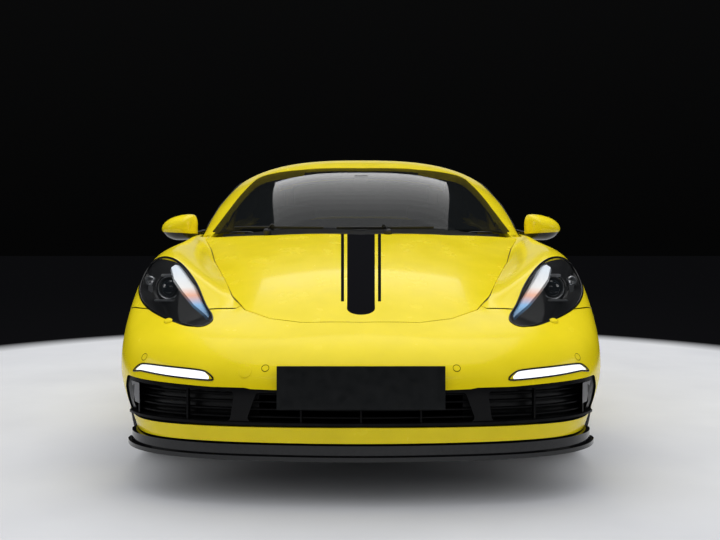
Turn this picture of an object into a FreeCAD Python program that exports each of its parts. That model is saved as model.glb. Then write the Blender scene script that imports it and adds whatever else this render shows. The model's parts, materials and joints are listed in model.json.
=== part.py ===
# Two-seat mid-engined coupe, built in millimetres.
# Z is up, the car faces -Y, +X is the car's left side and the origin lies on the
# ground under the middle of its box. A station is a distance behind the nose.
import FreeCAD
import Part
import math
import os

V = FreeCAD.Vector

# Overall sizes
front_overhang = 925.0
wheelbase = 2475.0
rear_overhang = 993.0
body_width = 1801.0
roof_height = 1280.0

# Wheels and tyres
front_tyre_radius = 336.0
rear_tyre_radius = 347.0
front_tyre_width = 240.0
rear_tyre_width = 270.0
rim_radius = 262.0
front_wheel_x = 757.0
rear_wheel_x = 746.0
arch_gap = 36.0
kingpin_inset = 12.0
disc_radius = 165.0
disc_thickness = 32.0
spoke_count = 10
hub_radius = 62.0
rim_edge = 14.0
spoke_setback = 34.0
hub_depth = 34.0
spindle_radius = 29.0

# Walls, gaps and clearances
skin = 12.0
lid_skin = 16.0
pillar_depth = 38.0
flange = 6.0
flange_width = 14.0
glass_thickness = 5.0
glass_inset = 2.0
panel_gap = 4.0
door_gap = 6.0
door_front_gap = 7.0
seat_gap = 0.3
running_gap = 6.0

# Doors
door_front = 1560.0
door_rear = 2555.0
door_bottom = 245.0
hinge_x = 862.0
hinge_setback = 40.0
swing_radius = 101.0

# Shut lines of the front lid and the rear hatch
lid_front = 250.0
lid_rear_centre = 1272.0
lid_rear_corner = 1508.0
hatch_front = 2905.0
hatch_rear = 4125.0

# Cabin and structure
floor_height = 135.0
floor_thickness = 22.0
tray_bottom = 150.0
tray_top = 162.0
liner_bottom = 200.0
front_bulkhead = 1330.0
rear_bulkhead = 2640.0
bulkhead_thickness = 20.0
sill_outer = 745.0
sill_width = 75.0
sill_top = 330.0
tunnel_width = 230.0
tunnel_top = 400.0
tub_wall = 5.0
lip_depth = 150.0
lip_bottom = 150.0
rear_tray_end = 3950.0
jack_pad_drop = 8.0
rail_outer = 430.0
rail_width = 50.0
rail_start = 205.0
seat_base = 240.0
arm_height = 134.0
jack_stations = (1460.0, 2500.0)

front_axle = front_overhang
rear_axle = front_axle + wheelbase
tail = rear_axle + rear_overhang
half_length = tail / 2
half_width = body_width / 2
front_arch = front_tyre_radius + arch_gap
rear_arch = rear_tyre_radius + arch_gap


def at(x, station, z):
    return V(x, station - half_length, z)


# Smooth curves and surfaces

def natural_spline(knots):
    xs = [k[0] for k in knots]
    ys = [k[1] for k in knots]
    n = len(xs)
    h = [xs[i + 1] - xs[i] for i in range(n - 1)]
    low = [0.0] * n
    middle = [1.0] * n
    high = [0.0] * n
    right = [0.0] * n
    for i in range(1, n - 1):
        low[i] = h[i - 1]
        middle[i] = 2 * (h[i - 1] + h[i])
        high[i] = h[i]
        right[i] = 6 * ((ys[i + 1] - ys[i]) / h[i] - (ys[i] - ys[i - 1]) / h[i - 1])
    for i in range(1, n):
        w = low[i] / middle[i - 1]
        middle[i] -= w * high[i - 1]
        right[i] -= w * right[i - 1]
    m = [0.0] * n
    m[-1] = right[-1] / middle[-1]
    for i in range(n - 2, -1, -1):
        m[i] = (right[i] - high[i] * m[i + 1]) / middle[i]

    def value(x):
        i = 0
        while i < n - 2 and x > xs[i + 1]:
            i += 1
        t = x - xs[i]
        slope = (ys[i + 1] - ys[i]) / h[i] - h[i] * (2 * m[i] + m[i + 1]) / 6
        return ys[i] + t * (slope + t * (m[i] / 2 + t * (m[i + 1] - m[i]) / (6 * h[i])))
    return value


def chord_parameters(lines):
    n = len(lines[0])
    total = [0.0] * n
    for line in lines:
        steps = [(line[i + 1] - line[i]).Length for i in range(n - 1)]
        whole = sum(steps)
        if whole < 1e-6:
            continue
        run = 0.0
        for i in range(1, n):
            run += steps[i - 1]
            total[i] += run / whole
    return [t / total[-1] for t in total]


def through(points, parameters):
    curve = Part.BSplineCurve()
    curve.interpolate(Points=points, Parameters=parameters)
    return curve


def surface(rows):
    columns = list(zip(*rows))
    across_parameters = chord_parameters(rows)
    along_parameters = chord_parameters(columns)
    across = [through(list(row), across_parameters) for row in rows]
    pole_columns = list(zip(*[curve.getPoles() for curve in across]))
    along = [through(list(column), along_parameters) for column in pole_columns]
    poles = [list(row) for row in zip(*[curve.getPoles() for curve in along])]
    result = Part.BSplineSurface()
    result.buildFromPolesMultsKnots(
        poles, along[0].getMultiplicities(), across[0].getMultiplicities(),
        along[0].getKnots(), across[0].getKnots(), False, False, 3, 3)
    return result


def offset_rows(sheet, depth, rows_along, rows_across):
    u0, u1, v0, v1 = sheet.bounds()
    rows = []
    for i in range(rows_along):
        row = []
        for j in range(rows_across):
            u = u0 + (u1 - u0) * i / (rows_along - 1)
            v = v0 + (v1 - v0) * j / (rows_across - 1)
            row.append(sheet.value(u, v) - sheet.normal(u, v) * depth)
        rows.append(row)
    return rows


slab_store = {}


def slab(name, top, bottom, rows_along=40, rows_across=16):
    """The solid between two depths under one of the body's sheets."""
    key = (name, top, bottom)
    if key in slab_store:
        return slab_store[key]
    sheet, inward = sheets[name]
    outer = sheet
    if top:
        outer = surface(offset_rows(sheet, top * inward, rows_along, rows_across))
    inner = surface(offset_rows(sheet, bottom * inward, rows_along, rows_across))
    faces = [outer.toShape(), inner.toShape()]
    outer_ends = outer.bounds()
    inner_ends = inner.bounds()
    for k in (0, 1):
        faces.append(Part.makeRuledSurface(
            outer.uIso(outer_ends[k]).toShape(), inner.uIso(inner_ends[k]).toShape()))
    for k in (2, 3):
        faces.append(Part.makeRuledSurface(
            outer.vIso(outer_ends[k]).toShape(), inner.vIso(inner_ends[k]).toShape()))
    shell = Part.makeShell(faces)
    shell.sewShape()
    solid = Part.makeSolid(Part.Shell(shell.Faces))
    if solid.Volume < 0:
        solid.reverse()
    slab_store[key] = solid
    return solid


# Outlines and prisms

def place(view, a, b, level):
    if view == "plan":
        return at(a, b, level)
    if view == "side":
        return at(level, a, b)
    return at(a, level, b)


def depth_vector(view, depth):
    return {"plan": V(0, 0, depth), "side": V(depth, 0, 0), "front": V(0, depth, 0)}[view]


def rounded_wire(points, radius):
    """A closed outline of straight runs whose corners are arcs of one radius."""
    n = len(points)
    edges = []
    ends = []
    for i in range(n):
        before, corner, after = points[i - 1], points[i], points[(i + 1) % n]
        back = before - corner
        ahead = after - corner
        angle = back.getAngle(ahead)
        reach = min(radius / math.tan(angle / 2), 0.45 * back.Length, 0.45 * ahead.Length)
        back.normalize()
        ahead.normalize()
        start = corner + back * reach
        end = corner + ahead * reach
        inward = back + ahead
        if radius < 0.01 or inward.Length < 0.02:
            ends.append((corner, corner, None))
            continue
        inward.normalize()
        used = reach * math.tan(angle / 2)
        middle = corner + inward * (used / math.sin(angle / 2) - used)
        ends.append((start, end, middle))
    for i in range(n):
        start, end, middle = ends[i]
        following = ends[(i + 1) % n]
        if middle is not None:
            edges.append(Part.Arc(start, middle, end).toShape())
        if (following[0] - end).Length > 1e-4:
            edges.append(Part.LineSegment(end, following[0]).toShape())
    return Part.Wire(edges)


def shifted(outline, grow):
    """Moves each point of a closed outline outward along the normal there."""
    n = len(outline)
    area = sum(outline[i - 1][0] * outline[i][1] - outline[i][0] * outline[i - 1][1]
               for i in range(n))
    turn = 1 if area > 0 else -1
    result = []
    for i in range(n):
        da = outline[(i + 1) % n][0] - outline[i - 1][0]
        db = outline[(i + 1) % n][1] - outline[i - 1][1]
        length = math.hypot(da, db)
        a, b = outline[i]
        result.append((a + turn * db / length * grow, b - turn * da / length * grow))
    return result


def smooth_wire(points):
    curve = Part.BSplineCurve()
    curve.interpolate(Points=points, PeriodicFlag=True)
    return Part.Wire([curve.toShape()])


def prism(view, outline, low, high, radius=0.0, grow=0.0, smooth=False):
    """An outline drawn in one view, grown or shrunk, and drawn out between two levels."""
    if smooth:
        outline = shifted(outline, grow)
    points = [place(view, a, b, low) for a, b in outline]
    wire = smooth_wire(points) if smooth else rounded_wire(points, radius)
    face = Part.Face(wire)
    if grow and not smooth:
        face = face.makeOffset2D(grow, 0, False, False, False)
    return face.extrude(depth_vector(view, high - low))


def box(x0, x1, s0, s1, z0, z1):
    low = at(min(x0, x1), min(s0, s1), min(z0, z1))
    return Part.makeBox(abs(x1 - x0), abs(s1 - s0), abs(z1 - z0), low)


def rod(start, end, radius):
    direction = end - start
    return Part.makeCylinder(radius, direction.Length, start, direction)


def across_rod(x0, x1, station, z, radius):
    return rod(at(x0, station, z), at(x1, station, z), radius)


def mirror(shape):
    return shape.mirror(V(0, 0, 0), V(1, 0, 0))


def pair(outline):
    """Closes a left-hand outline, given from the centre out and back, with its mirror."""
    return outline + [(-a, b) for a, b in reversed(outline) if abs(a) > 0.01]


def join(shapes):
    return shapes[0].multiFuse(shapes[1:]) if len(shapes) > 1 else shapes[0]


def largest(shape):
    return max(shape.Solids, key=lambda s: s.Volume)


def gather(shapes):
    solids = []
    for shape in shapes:
        solids += shape.Solids
    return solids[0] if len(solids) == 1 else Part.makeCompound(solids)


# The body's master shape: ribs run from the sill up over the shoulder. Each gives a
# plan position, the way its plane faces, and points as (depth inward, height).
lid_height = natural_spline(
    [(200, 550), (500, 664), (800, 755), (1100, 828), (1290, 868), (1600, 935)])
lid_fall = natural_spline(
    [(200, 0.000171), (700, 0.000171), (1200, 0.000145), (1600, 0.000122)])


def lid_z(x, station):
    return lid_height(station) - lid_fall(station) * x * x


nose_ribs = [
    (0, 8, 90, [(38, 205), (12, 300), (0, 400), (20, 450), (70, 497), (142, 533)], 245),
    (330, 30, 80, [(38, 205), (12, 300), (0, 400), (20, 450), (72, 497), (155, 534)], 272),
    (560, 76, 64, [(43, 204), (13, 300), (0, 405), (22, 462), (78, 510), (198, 552)], 358),
    (740, 175, 47, [(50, 202), (18, 300), (0, 412), (24, 485), (105, 545), (258, 592)], 400),
    (833, 350, 28, [(55, 198), (20, 300), (0, 435), (20, 520), (84, 585), (250, 668)], 400),
    (873, 590, 12, [(60, 188), (22, 310), (0, 470), (14, 595), (60, 690), (190, 758)], 376),
    (893, 925, 0, [(60, 180), (24, 320), (0, 540), (16, 680), (60, 772), (165, 812)], 308),
    (887, 1250, 0, [(58, 180), (24, 320), (0, 580), (18, 715), (60, 800), (135, 838)], 219),
]
flank_ribs = [
    (872, 1545, 0, [(56, 180), (22, 320), (0, 590), (12, 725), (38, 818), (85, 857)], 124),
    (862, 2000, 0, [(58, 180), (24, 320), (0, 590), (10, 725), (30, 815), (60, 860)],
     (88, 868), (150, 860)),
    (868, 2500, 0, [(58, 180), (22, 320), (0, 600), (9, 735), (28, 828), (62, 876)],
     (95, 886), (160, 882)),
    (884, 2850, 0, [(55, 180), (22, 320), (0, 610), (10, 740), (34, 838), (83, 888)],
     (125, 902), (160, 912)),
    (895, 3125, 0, [(52, 185), (21, 325), (0, 610), (11, 742), (38, 842), (102, 896)],
     (165, 914), (198, 934)),
    (898, 3400, 0, [(50, 190), (20, 330), (0, 610), (12, 745), (43, 845), (120, 902)],
     (205, 925), (235, 955)),
]
tail_ribs = [
    (884, 3720, -7, [(48, 200), (18, 340), (0, 605), (15, 742), (50, 843), (138, 900)],
     (252, 922), (285, 945)),
    (838, 4000, -25, [(50, 210), (18, 340), (0, 590), (20, 725), (62, 828), (152, 893)],
     (285, 918), (325, 928)),
    (742, 4210, -47, [(60, 220), (20, 340), (0, 560), (28, 700), (74, 808), (140, 878)],
     (240, 910), (290, 919)),
    (560, 4330, -66, [(70, 225), (24, 340), (0, 545), (33, 682), (82, 792), (134, 872)],
     (208, 906), (250, 915)),
    (300, 4380, -80, [(75, 230), (25, 340), (0, 540), (34, 672), (84, 782), (130, 867)],
     (194, 904), (234, 913)),
    (0, 4393, -90, [(75, 230), (25, 340), (0, 538), (34, 670), (84, 780), (128, 866)],
     (190, 903), (230, 912)),
]
ribs = nose_ribs + flank_ribs + tail_ribs
flank_start = len(nose_ribs)
shut_overlap = 70.0


def rib_points(rib, side):
    x, station, heading, profile = rib[:4]
    angle = math.radians(heading)
    inward_x = -math.cos(angle)
    inward_s = math.sin(angle)
    points = []
    for depth, z in profile:
        points.append(at(side * (x + inward_x * depth), station + inward_s * depth, z))
    if len(rib) == 5:
        for depth in (rib[4], rib[4] + shut_overlap):
            px = x + inward_x * depth
            ps = station + inward_s * depth
            points.append(at(side * px, ps, lid_z(px, ps)))
    else:
        for depth, z in rib[4:]:
            points.append(at(side * (x + inward_x * depth), station + inward_s * depth, z))
    return points


front_end = flank_start + len(flank_ribs)
front_rows = [rib_points(rib, -1) for rib in reversed(ribs[1:front_end])]
front_rows += [rib_points(rib, 1) for rib in ribs[:front_end]]
rear_rows = [rib_points(rib, 1) for rib in ribs[flank_start:]]
rear_rows += [rib_points(rib, -1) for rib in reversed(ribs[flank_start:-1])]

# Rows of the canopy: centre station and height, then belt half width, station and
# height, and how square the row is.
canopy_stations = [
    (1262, 860, 765, 1545, 838, 2.6),
    (1500, 985, 775, 1700, 842, 2.65),
    (1780, 1122, 783, 1890, 848, 2.7),
    (2030, 1219, 787, 2095, 851, 2.7),
    (2200, 1261, 788, 2230, 854, 2.7),
    (2400, roof_height, 788, 2410, 858, 2.7),
    (2700, 1259, 782, 2700, 866, 2.65),
    (3050, 1190, 758, 3050, 872, 2.5),
    (3400, 1096, 705, 3400, 872, 2.4),
    (3750, 1003, 640, 3750, 862, 2.3),
    (4030, 941, 580, 4030, 850, 2.2),
    (4190, 906, 545, 4190, 836, 2.2),
]


def canopy_row(row):
    centre_s, centre_z, half, belt_s, belt_z, power = row
    points = []
    for i in range(-9, 10):
        t = math.radians(10 * i)
        x = math.copysign(abs(math.sin(t)) ** (2 / power), t) * half
        rise = abs(math.cos(t)) ** (2 / power) if abs(i) < 9 else 0.0
        z = belt_z + (centre_z - belt_z) * rise
        points.append(at(x, centre_s + (belt_s - centre_s) * (x / half) ** 2, z))
    return points


lid_rows = [[at(x, s, lid_z(x, s)) for x in range(-780, 781, 130)]
            for s in range(200, 1600, 130)]

sheets = {
    "front": (surface(front_rows), 1),
    "rear": (surface(rear_rows), 1),
    "canopy": (surface([canopy_row(row) for row in canopy_stations]), -1),
    "lid": (surface(lid_rows), -1),
}

# Shut lines, given for the left side
lid_line = [(0, lid_front), (200, 262), (313, 310), (410, 400), (477, 550), (551, 800),
            (610, 1000), (665, 1250), (736, lid_rear_corner - 8), (700, lid_rear_corner - 12),
            (400, 1358), (0, lid_rear_centre)]
screen_line = [(0, 1312), (400, 1396), (680, 1535), (718, 1572), (655, 1745), (545, 2100),
               (300, 2035), (0, 2012)]
roof_side = 514.0
roof_line = [(0, 2015), (300, 2038), (roof_side, 2098), (roof_side, hatch_front - 1),
             (0, hatch_front - 1)]
cowl_line = [(0, 1262), (400, 1348), (676, 1484), (712, 1512), (690, 1560), (400, 1500),
             (0, 1420)]
hatch_line = [(0, hatch_front), (430, hatch_front), (480, 2960), (520, 3400), (545, 3800),
              (535, 4060), (480, hatch_rear), (0, hatch_rear + 22)]
hatch_glass_line = [(0, 2985), (395, 2985), (425, 3030), (452, 3400), (440, 3690), (380, 3770),
                    (0, 3800)]
belt_line = [(row[2], row[3]) for row in canopy_stations]
door_line = [(door_front, 262), (door_front, 900), (2522, 930), (2545, 860),
             (door_rear, 720), (2530, 500), (2460, 300), (2400, door_bottom),
             (1600, door_bottom)]
window_line = [(1655, 874), (1760, 922), (1930, 1015), (2120, 1112), (2230, 1146),
               (2400, 1163), (2600, 1160), (2820, 1130), (3000, 1080), (3160, 1010),
               (3215, 965), (3110, 928), (2850, 908), (2500, 891), (2000, 875)]
post_front = 2545.0
post_rear = 2600.0
sail_rear = 1770.0


save_count = 0


def save(name, shape):
    global save_count
    shape.exportStep("parts/" + name + ".step")
    save_count += 1
    solids = len(shape.Solids)
    print(name, "solids", solids, "valid", shape.isValid(), "litres",
          round(shape.Volume / 1e6, 2))


# Cutters used by several pieces
def arch_cutter(axle, height, radius):
    return across_rod(-1100, 1100, axle, height, radius)


front_arch_cut = arch_cutter(front_axle, front_tyre_radius, front_arch)
rear_arch_cut = arch_cutter(rear_axle, rear_tyre_radius, rear_arch)
left_half = box(0, 1200, -200, tail + 200, -100, 1500)
lid_cut = prism("plan", pair(lid_line), 400, 1100, 30, panel_gap / 2)
lid_keep = prism("plan", pair(lid_line), 400, 1100, 30, -panel_gap / 2)
lid_inner = prism("plan", pair(lid_line), 400, 1100, 30, -flange_width)
hatch_cut = prism("plan", pair(hatch_line), 780, 1400, 40, panel_gap / 2 + 1)
hatch_keep = prism("plan", pair(hatch_line), 780, 1400, 40, -panel_gap / 2 - 1)
hatch_inner = prism("plan", pair(hatch_line), 780, 1400, 40, -flange_width - 2)
cabin_plan = pair([(0, 1262)] + belt_line + [(0, 4190)])
hinge_s = door_front + hinge_setback

# The front bumper ends at the lamps' inner tips, under the lamps and at the wheels.
bumper_nose = [(430, 440), (523, 350), (523, -150), (-523, -150), (-523, 350), (-430, 440)]
bumper_side = [(-150, 0), (-150, 602), (480, 602), (640, 578), (front_axle, 578),
               (front_axle, 0)]
tail_half = 505.0
tail_start = 3990.0
rear_split = [(rear_axle, 0), (rear_axle, 640), (3900, 655), (4080, 668), (tail + 200, 668),
              (tail + 200, 0)]


def front_bumper_region(grow):
    nose = prism("plan", bumper_nose, 0, 800, 0, grow)
    sides = prism("side", bumper_side, -1000, 1000, 0, grow)
    return nose.fuse(sides)


def rear_bumper_region(grow):
    sides = prism("side", rear_split, -1000, 1000, 0, grow)
    centre = box(-tail_half - grow, tail_half + grow, tail_start, tail + 100, 0, 1100)
    return sides.fuse(centre)


# Lamps, intakes and plate outlines, from the front or from above
lamp_line = [(824, 568), (838, 700), (821, 745), (776, 716), (689, 637), (610, 520),
             (560, 430), (523, 363), (517, 300), (556, 262), (662, 313), (768, 436)]
intake_line = [(0, 379), (263, 379), (347, 381), (368, 385), (477, 385), (613, 391),
               (784, 397), (800, 350), (802, 294), (786, 251), (598, 254), (260, 256), (0, 258)]
running_line = [(754, 415), (717, 443), (609, 441), (500, 433), (472, 406), (613, 412),
                (719, 420)]
tail_lamp_line = [(478, 700), (640, 704), (800, 716), (880, 742), (880, 800), (780, 806),
                  (640, 800), (500, 788), (470, 745)]
side_intake_line = [(2655, 470), (2775, 500), (2760, 640), (2700, 800), (2660, 815),
                    (2640, 790), (2650, 640)]
plate_width = 525.0
plate_height = 135.0
plate_bottom = 322.0

striker_x = 784.0
striker_tip = 2528.0
striker_z = 600.0
lid_hole = prism("plan", pair(lid_line), 400, 1100, 30, running_gap + 2)



def lamp_prism(grow=0.0):
    """The headlamp's outline from above, drawn out. Its curve is taken from the middle of
    a longer one that runs past the start twice, so it closes without a kink."""
    extra = 4
    points = [place("plan", a, b, 520) for a, b in shifted(lamp_line, grow)]
    wrapped = points[-extra:] + points + points[:extra + 1]
    run = [0.0]
    for k in range(1, len(wrapped)):
        run.append(run[-1] + (wrapped[k] - wrapped[k - 1]).Length)
    curve = through(wrapped, run)
    curve.segment(run[extra], run[extra + len(points)])
    return Part.Face(Part.Wire([curve.toShape()])).extrude(V(0, 0, 380))


lamp_cut = lamp_prism()
intake_cut = prism("front", pair(intake_line), -200, 420, 14)


def both_sides(shape):
    return shape.fuse(mirror(shape))


def nose_curve(depth):
    """The nose's plan outline, moved inward, from the right side to the left."""
    left = []
    for rib in nose_ribs[:5]:
        x, station, heading = rib[:3]
        angle = math.radians(heading)
        left.append((x - math.cos(angle) * depth, station + math.sin(angle) * depth))
    return [(-x, s) for x, s in reversed(left[1:])] + left


def nose_band(front_depth, back_depth, z0, z1):
    """A flat band of even width that follows the nose."""
    outer = [at(x, s, z0) for x, s in nose_curve(front_depth)]
    inner = [at(x, s, z0) for x, s in nose_curve(back_depth)]
    curves = []
    for points in (outer, inner):
        curve = Part.BSplineCurve()
        curve.interpolate(points)
        curves.append(curve.toShape())
    ends = [Part.LineSegment(outer[0], inner[0]).toShape(),
            Part.LineSegment(outer[-1], inner[-1]).toShape()]
    wire = Part.Wire(Part.__sortEdges__(curves + ends))
    return Part.Face(wire).extrude(V(0, 0, z1 - z0))


lid_seat_cut = slab("lid", -8, flange + seat_gap).common(lid_cut)


# Front panels

def make_front_bumper():
    panel = slab("front", 0, skin).common(front_bumper_region(-panel_gap / 2))
    for cut in (front_arch_cut, lid_seat_cut, lid_inner, intake_cut, both_sides(lamp_cut),
                both_sides(prism("front", running_line, -100, 420, 8))):
        panel = panel.cut(cut)
    return largest(panel)


def make_front_wing():
    panel = slab("front", 0, skin).common(box(0, 1000, -200, door_front - door_front_gap,
                                              0, 1000))
    for cut in (front_bumper_region(panel_gap / 2), front_arch_cut, lid_seat_cut, lid_inner,
                lamp_cut, prism("plan", cabin_plan, 700, 1300, 0, 3),
                prism("plan", pair(cowl_line), 700, 1100, 0, seat_gap),
                slab("canopy", -seat_gap, pillar_depth + seat_gap).common(
                    box(600, 800, 1480, 1560, 780, 900))):
        panel = panel.cut(cut)
    return largest(panel)


def make_front_lid():
    outer = slab("lid", 0, flange).common(lid_keep)
    inner = slab("lid", flange - 1, lid_skin).common(
        prism("plan", pair(lid_line), 400, 1100, 30, -flange_width - running_gap))
    return largest(outer.fuse(inner))


def make_cowl_panel():
    keep = prism("plan", pair(cowl_line), 700, 1100, 0)
    return largest(slab("lid", flange + seat_gap, flange + 6).common(keep))


# Canopy: pillars and rails, roof panel and glass

windscreen_cut = prism("plan", pair(screen_line), 700, 1500, 45)
roof_skin = 18.0
roof_cut = prism("plan", pair(roof_line), 1000, 1500, 12)
window_cut = prism("side", window_line, -1000, 1000, smooth=True)
post_solid = box(-1000, 1000, post_front, post_rear, 700, 1400)


def make_roof_panel():
    keep = prism("plan", pair(roof_line), 1000, 1500, 12, -seat_gap)
    return largest(slab("canopy", 0, roof_skin).common(keep))


def make_windscreen():
    pane = slab("canopy", glass_inset, glass_inset + glass_thickness)
    return largest(pane.common(prism("plan", pair(screen_line), 700, 1500, 45, -seat_gap)))


def make_door_glass():
    pane = slab("canopy", glass_inset, glass_inset + glass_thickness)
    keep = prism("side", window_line, 300, 1000, smooth=True, grow=-running_gap)
    ahead = box(300, 1000, sail_rear, post_front - running_gap, 700, 1400)
    return largest(pane.common(keep).common(ahead))


def make_quarter_window():
    pane = slab("canopy", glass_inset, glass_inset + glass_thickness)
    keep = prism("side", window_line, 300, 1000, smooth=True, grow=-seat_gap)
    behind = box(300, 1000, post_rear + seat_gap, 3400, 700, 1400)
    return largest(pane.common(keep).common(behind))


def make_body_side():
    frame = slab("canopy", 0, pillar_depth).common(left_half)
    wing_zone = slab("front", -30, skin + seat_gap).common(
        box(0, 1000, 1200, door_front - door_front_gap + seat_gap, 600, 1000))
    for cut in (windscreen_cut, roof_cut, hatch_cut, wing_zone, window_cut.cut(post_solid),
                prism("plan", pair(cowl_line), 700, 1100, 0, 2),
                rear_bumper_region(panel_gap / 2)):
        frame = frame.cut(cut)
    frame = largest(frame.common(box(300, 1000, 1500, 4160, 700, 1400)))
    panel = slab("rear", 0, skin).common(box(0, 1000, door_front - 2, tail + 50, 0, 1100))
    opening = prism("side", door_line, 300, 1000, 40, door_gap)
    behind_wing = box(0, 1000, 1300, door_front + 60, 232, 1100)
    for cut in (opening, behind_wing, rear_bumper_region(panel_gap / 2), rear_arch_cut,
                prism("plan", pair(hatch_line), 780, 1400, 40, 10),
                prism("side", side_intake_line, 300, 1000, 12),
                prism("front", tail_lamp_line, 3850, tail + 100, 14)):
        panel = panel.cut(cut)
    panel = largest(panel)
    sill = box(sill_outer - sill_width, sill_outer, front_bulkhead, rear_bulkhead,
               floor_height, sill_top)
    sill_rim = box(sill_outer - 10, 830, door_front + 100, 2500, 185, 232)
    sill_rim = sill_rim.common(slab("rear", 2, 110))
    hinge_post = box(690, 768, 1440, 1540, sill_top - 20, 838)
    hinge_post = hinge_post.cut(slab("front", 0, skin + 3)).cut(lid_hole)
    lock_post = box(690, 800, 2575, rear_bulkhead, sill_top - 20, 880)
    lock_post = lock_post.cut(slab("rear", -5, skin / 2))
    striker = box(striker_x, striker_x + 12, striker_tip, 2580, striker_z, striker_z + 20)
    body = frame.multiFuse([panel, sill, sill_rim, hinge_post, lock_post, striker])
    swing = rod(at(hinge_x, hinge_s, sill_top + 5), at(hinge_x, hinge_s, 900), swing_radius)
    return largest(body.cut(swing.common(box(600, 1000, door_front - 10, 1760, 0, 1000))))


# Doors

def make_door():
    face_panel = slab("front", 0, skin).common(prism("side", door_line, 300, 1000, 40))
    inner = prism("side", door_line, half_width - 123, half_width + 5, 40, -16)
    inner = inner.cut(slab("front", -90, skin / 2))
    door = face_panel.fuse(inner)
    belt = prism("plan", cabin_plan, 700, 1300, 0, 4)
    latch = box(700, striker_x + 12 + seat_gap, striker_tip - 5, door_rear,
                striker_z - seat_gap, striker_z + 20 + seat_gap)
    return largest(door.cut(belt).cut(latch))


# The mirror's shell from the front and from above
mirror_front = [(803, 905), (815, 945), (860, 960), (930, 963), (983, 948), (996, 908),
                (984, 866), (930, 848), (860, 844), (815, 862)]
mirror_plan = [(804, 1690), (806, 1640), (840, 1606), (890, 1594), (945, 1602), (984, 1636),
               (996, 1690), (960, 1720), (900, 1726), (840, 1720)]


def make_mirror():
    shell = prism("front", mirror_front, 1560, 1692, smooth=True).common(
        prism("plan", mirror_plan, 800, 1000, smooth=True))
    arm = rod(at(754, 1738, 893), at(872, 1668, 895), 11)
    sail = slab("canopy", 0, 12).common(
        prism("side", window_line, 300, 1000, smooth=True, grow=-running_gap))
    sail = largest(sail.common(box(300, 1000, 1700, sail_rear - seat_gap, 700, 1400)))
    return largest(join([shell, arm, sail]).cut(slab("front", -seat_gap, 60)))


# Rear

def make_rear_hatch():
    outer = slab("canopy", 0, flange).common(hatch_keep)
    inner = slab("canopy", flange - 1, lid_skin).common(
        prism("plan", pair(hatch_line), 780, 1400, 40, -flange_width - running_gap - 2))
    hole = prism("plan", pair(hatch_glass_line), 780, 1400, 30)
    return largest(outer.fuse(inner).cut(hole))


def make_hatch_glass():
    pane = slab("canopy", glass_inset, glass_inset + glass_thickness)
    return largest(pane.common(prism("plan", pair(hatch_glass_line), 780, 1400, 30, -seat_gap)))


diffuser_line = [(0, 345), (300, 345), (420, 320), (470, 262), (480, 190), (480, 150), (0, 150)]
pipe_x = 58.0
pipe_z = 268.0
pipe_radius = 46.0


def make_rear_bumper():
    panel = slab("rear", 0, skin).common(rear_bumper_region(-panel_gap / 2)).cut(hatch_cut)
    zone = box(-tail_half + 2, tail_half - 2, hatch_rear - 60, 4180, 700, 1000)
    outer = slab("canopy", 0, flange + seat_gap + 1).common(zone).cut(hatch_cut)
    ledge = slab("canopy", flange + seat_gap, skin).common(zone).cut(hatch_inner)
    panel = panel.fuse(outer.fuse(ledge))
    for cut in (rear_arch_cut,
                prism("front", pair(diffuser_line), 3900, tail + 100, 12),
                both_sides(prism("front", tail_lamp_line, 3850, tail + 100, 14))):
        panel = panel.cut(cut)
    return largest(panel)


def make_tail_lamp():
    lens = slab("rear", -2, 20).common(prism("front", tail_lamp_line, 3850, tail + 100, 14,
                                              -0.5))
    return largest(lens)


def make_rear_spoiler():
    strip = slab("rear", -12, -2 * seat_gap)
    outline = pair([(0, 4200), (300, 4190), (500, 4150), (560, 4170), (540, 4215), (300, 4265),
                    (0, 4278)])
    return largest(strip.common(prism("plan", outline, 850, 1000, 12)))


def make_rear_diffuser():
    keep = prism("front", pair(diffuser_line), 3900, tail + 100, 12, -seat_gap)
    plate = slab("rear", 25, 40).common(keep)
    floor = box(-440, 440, rear_tray_end + seat_gap, tail - 95, 150, 162)
    parts = [plate, floor]
    for x in (-330, -200, 200, 330):
        fin = box(x - 5, x + 5, 4126, tail - 20, 155, 262).cut(slab("rear", -60, 10))
        parts.append(fin)
    rim = slab("rear", 2, 40).common(keep)
    rim = rim.cut(prism("front", pair(diffuser_line), 3900, tail + 100, 12, -14))
    parts.append(rim.common(box(-500, 500, 3900, tail, 155, 360)))
    body = join(parts)
    for x in (-pipe_x, pipe_x):
        body = body.cut(rod(at(x, 4000, pipe_z), at(x, tail + 100, pipe_z), pipe_radius + 4))
    return largest(body)


def make_exhaust_tips():
    shapes = []
    for x in (-pipe_x, pipe_x):
        start = at(x, 4120, pipe_z)
        end = at(x, tail - 22, pipe_z)
        shapes.append(rod(start, end, pipe_radius).cut(
            rod(at(x, 4160, pipe_z), at(x, tail, pipe_z), pipe_radius - 4)))
    box_shape = box(-260, 260, 3960, 4121, 162 + seat_gap, 330)
    return join([box_shape] + shapes)


# Nose pieces

side_opening = [(400, 372), (752, 380), (768, 300), (756, 272), (418, 272)]
centre_opening = [(0, 368), (330, 368), (366, 272), (0, 272)]
bar_count = 4
bar_pitch = 24.0


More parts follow.
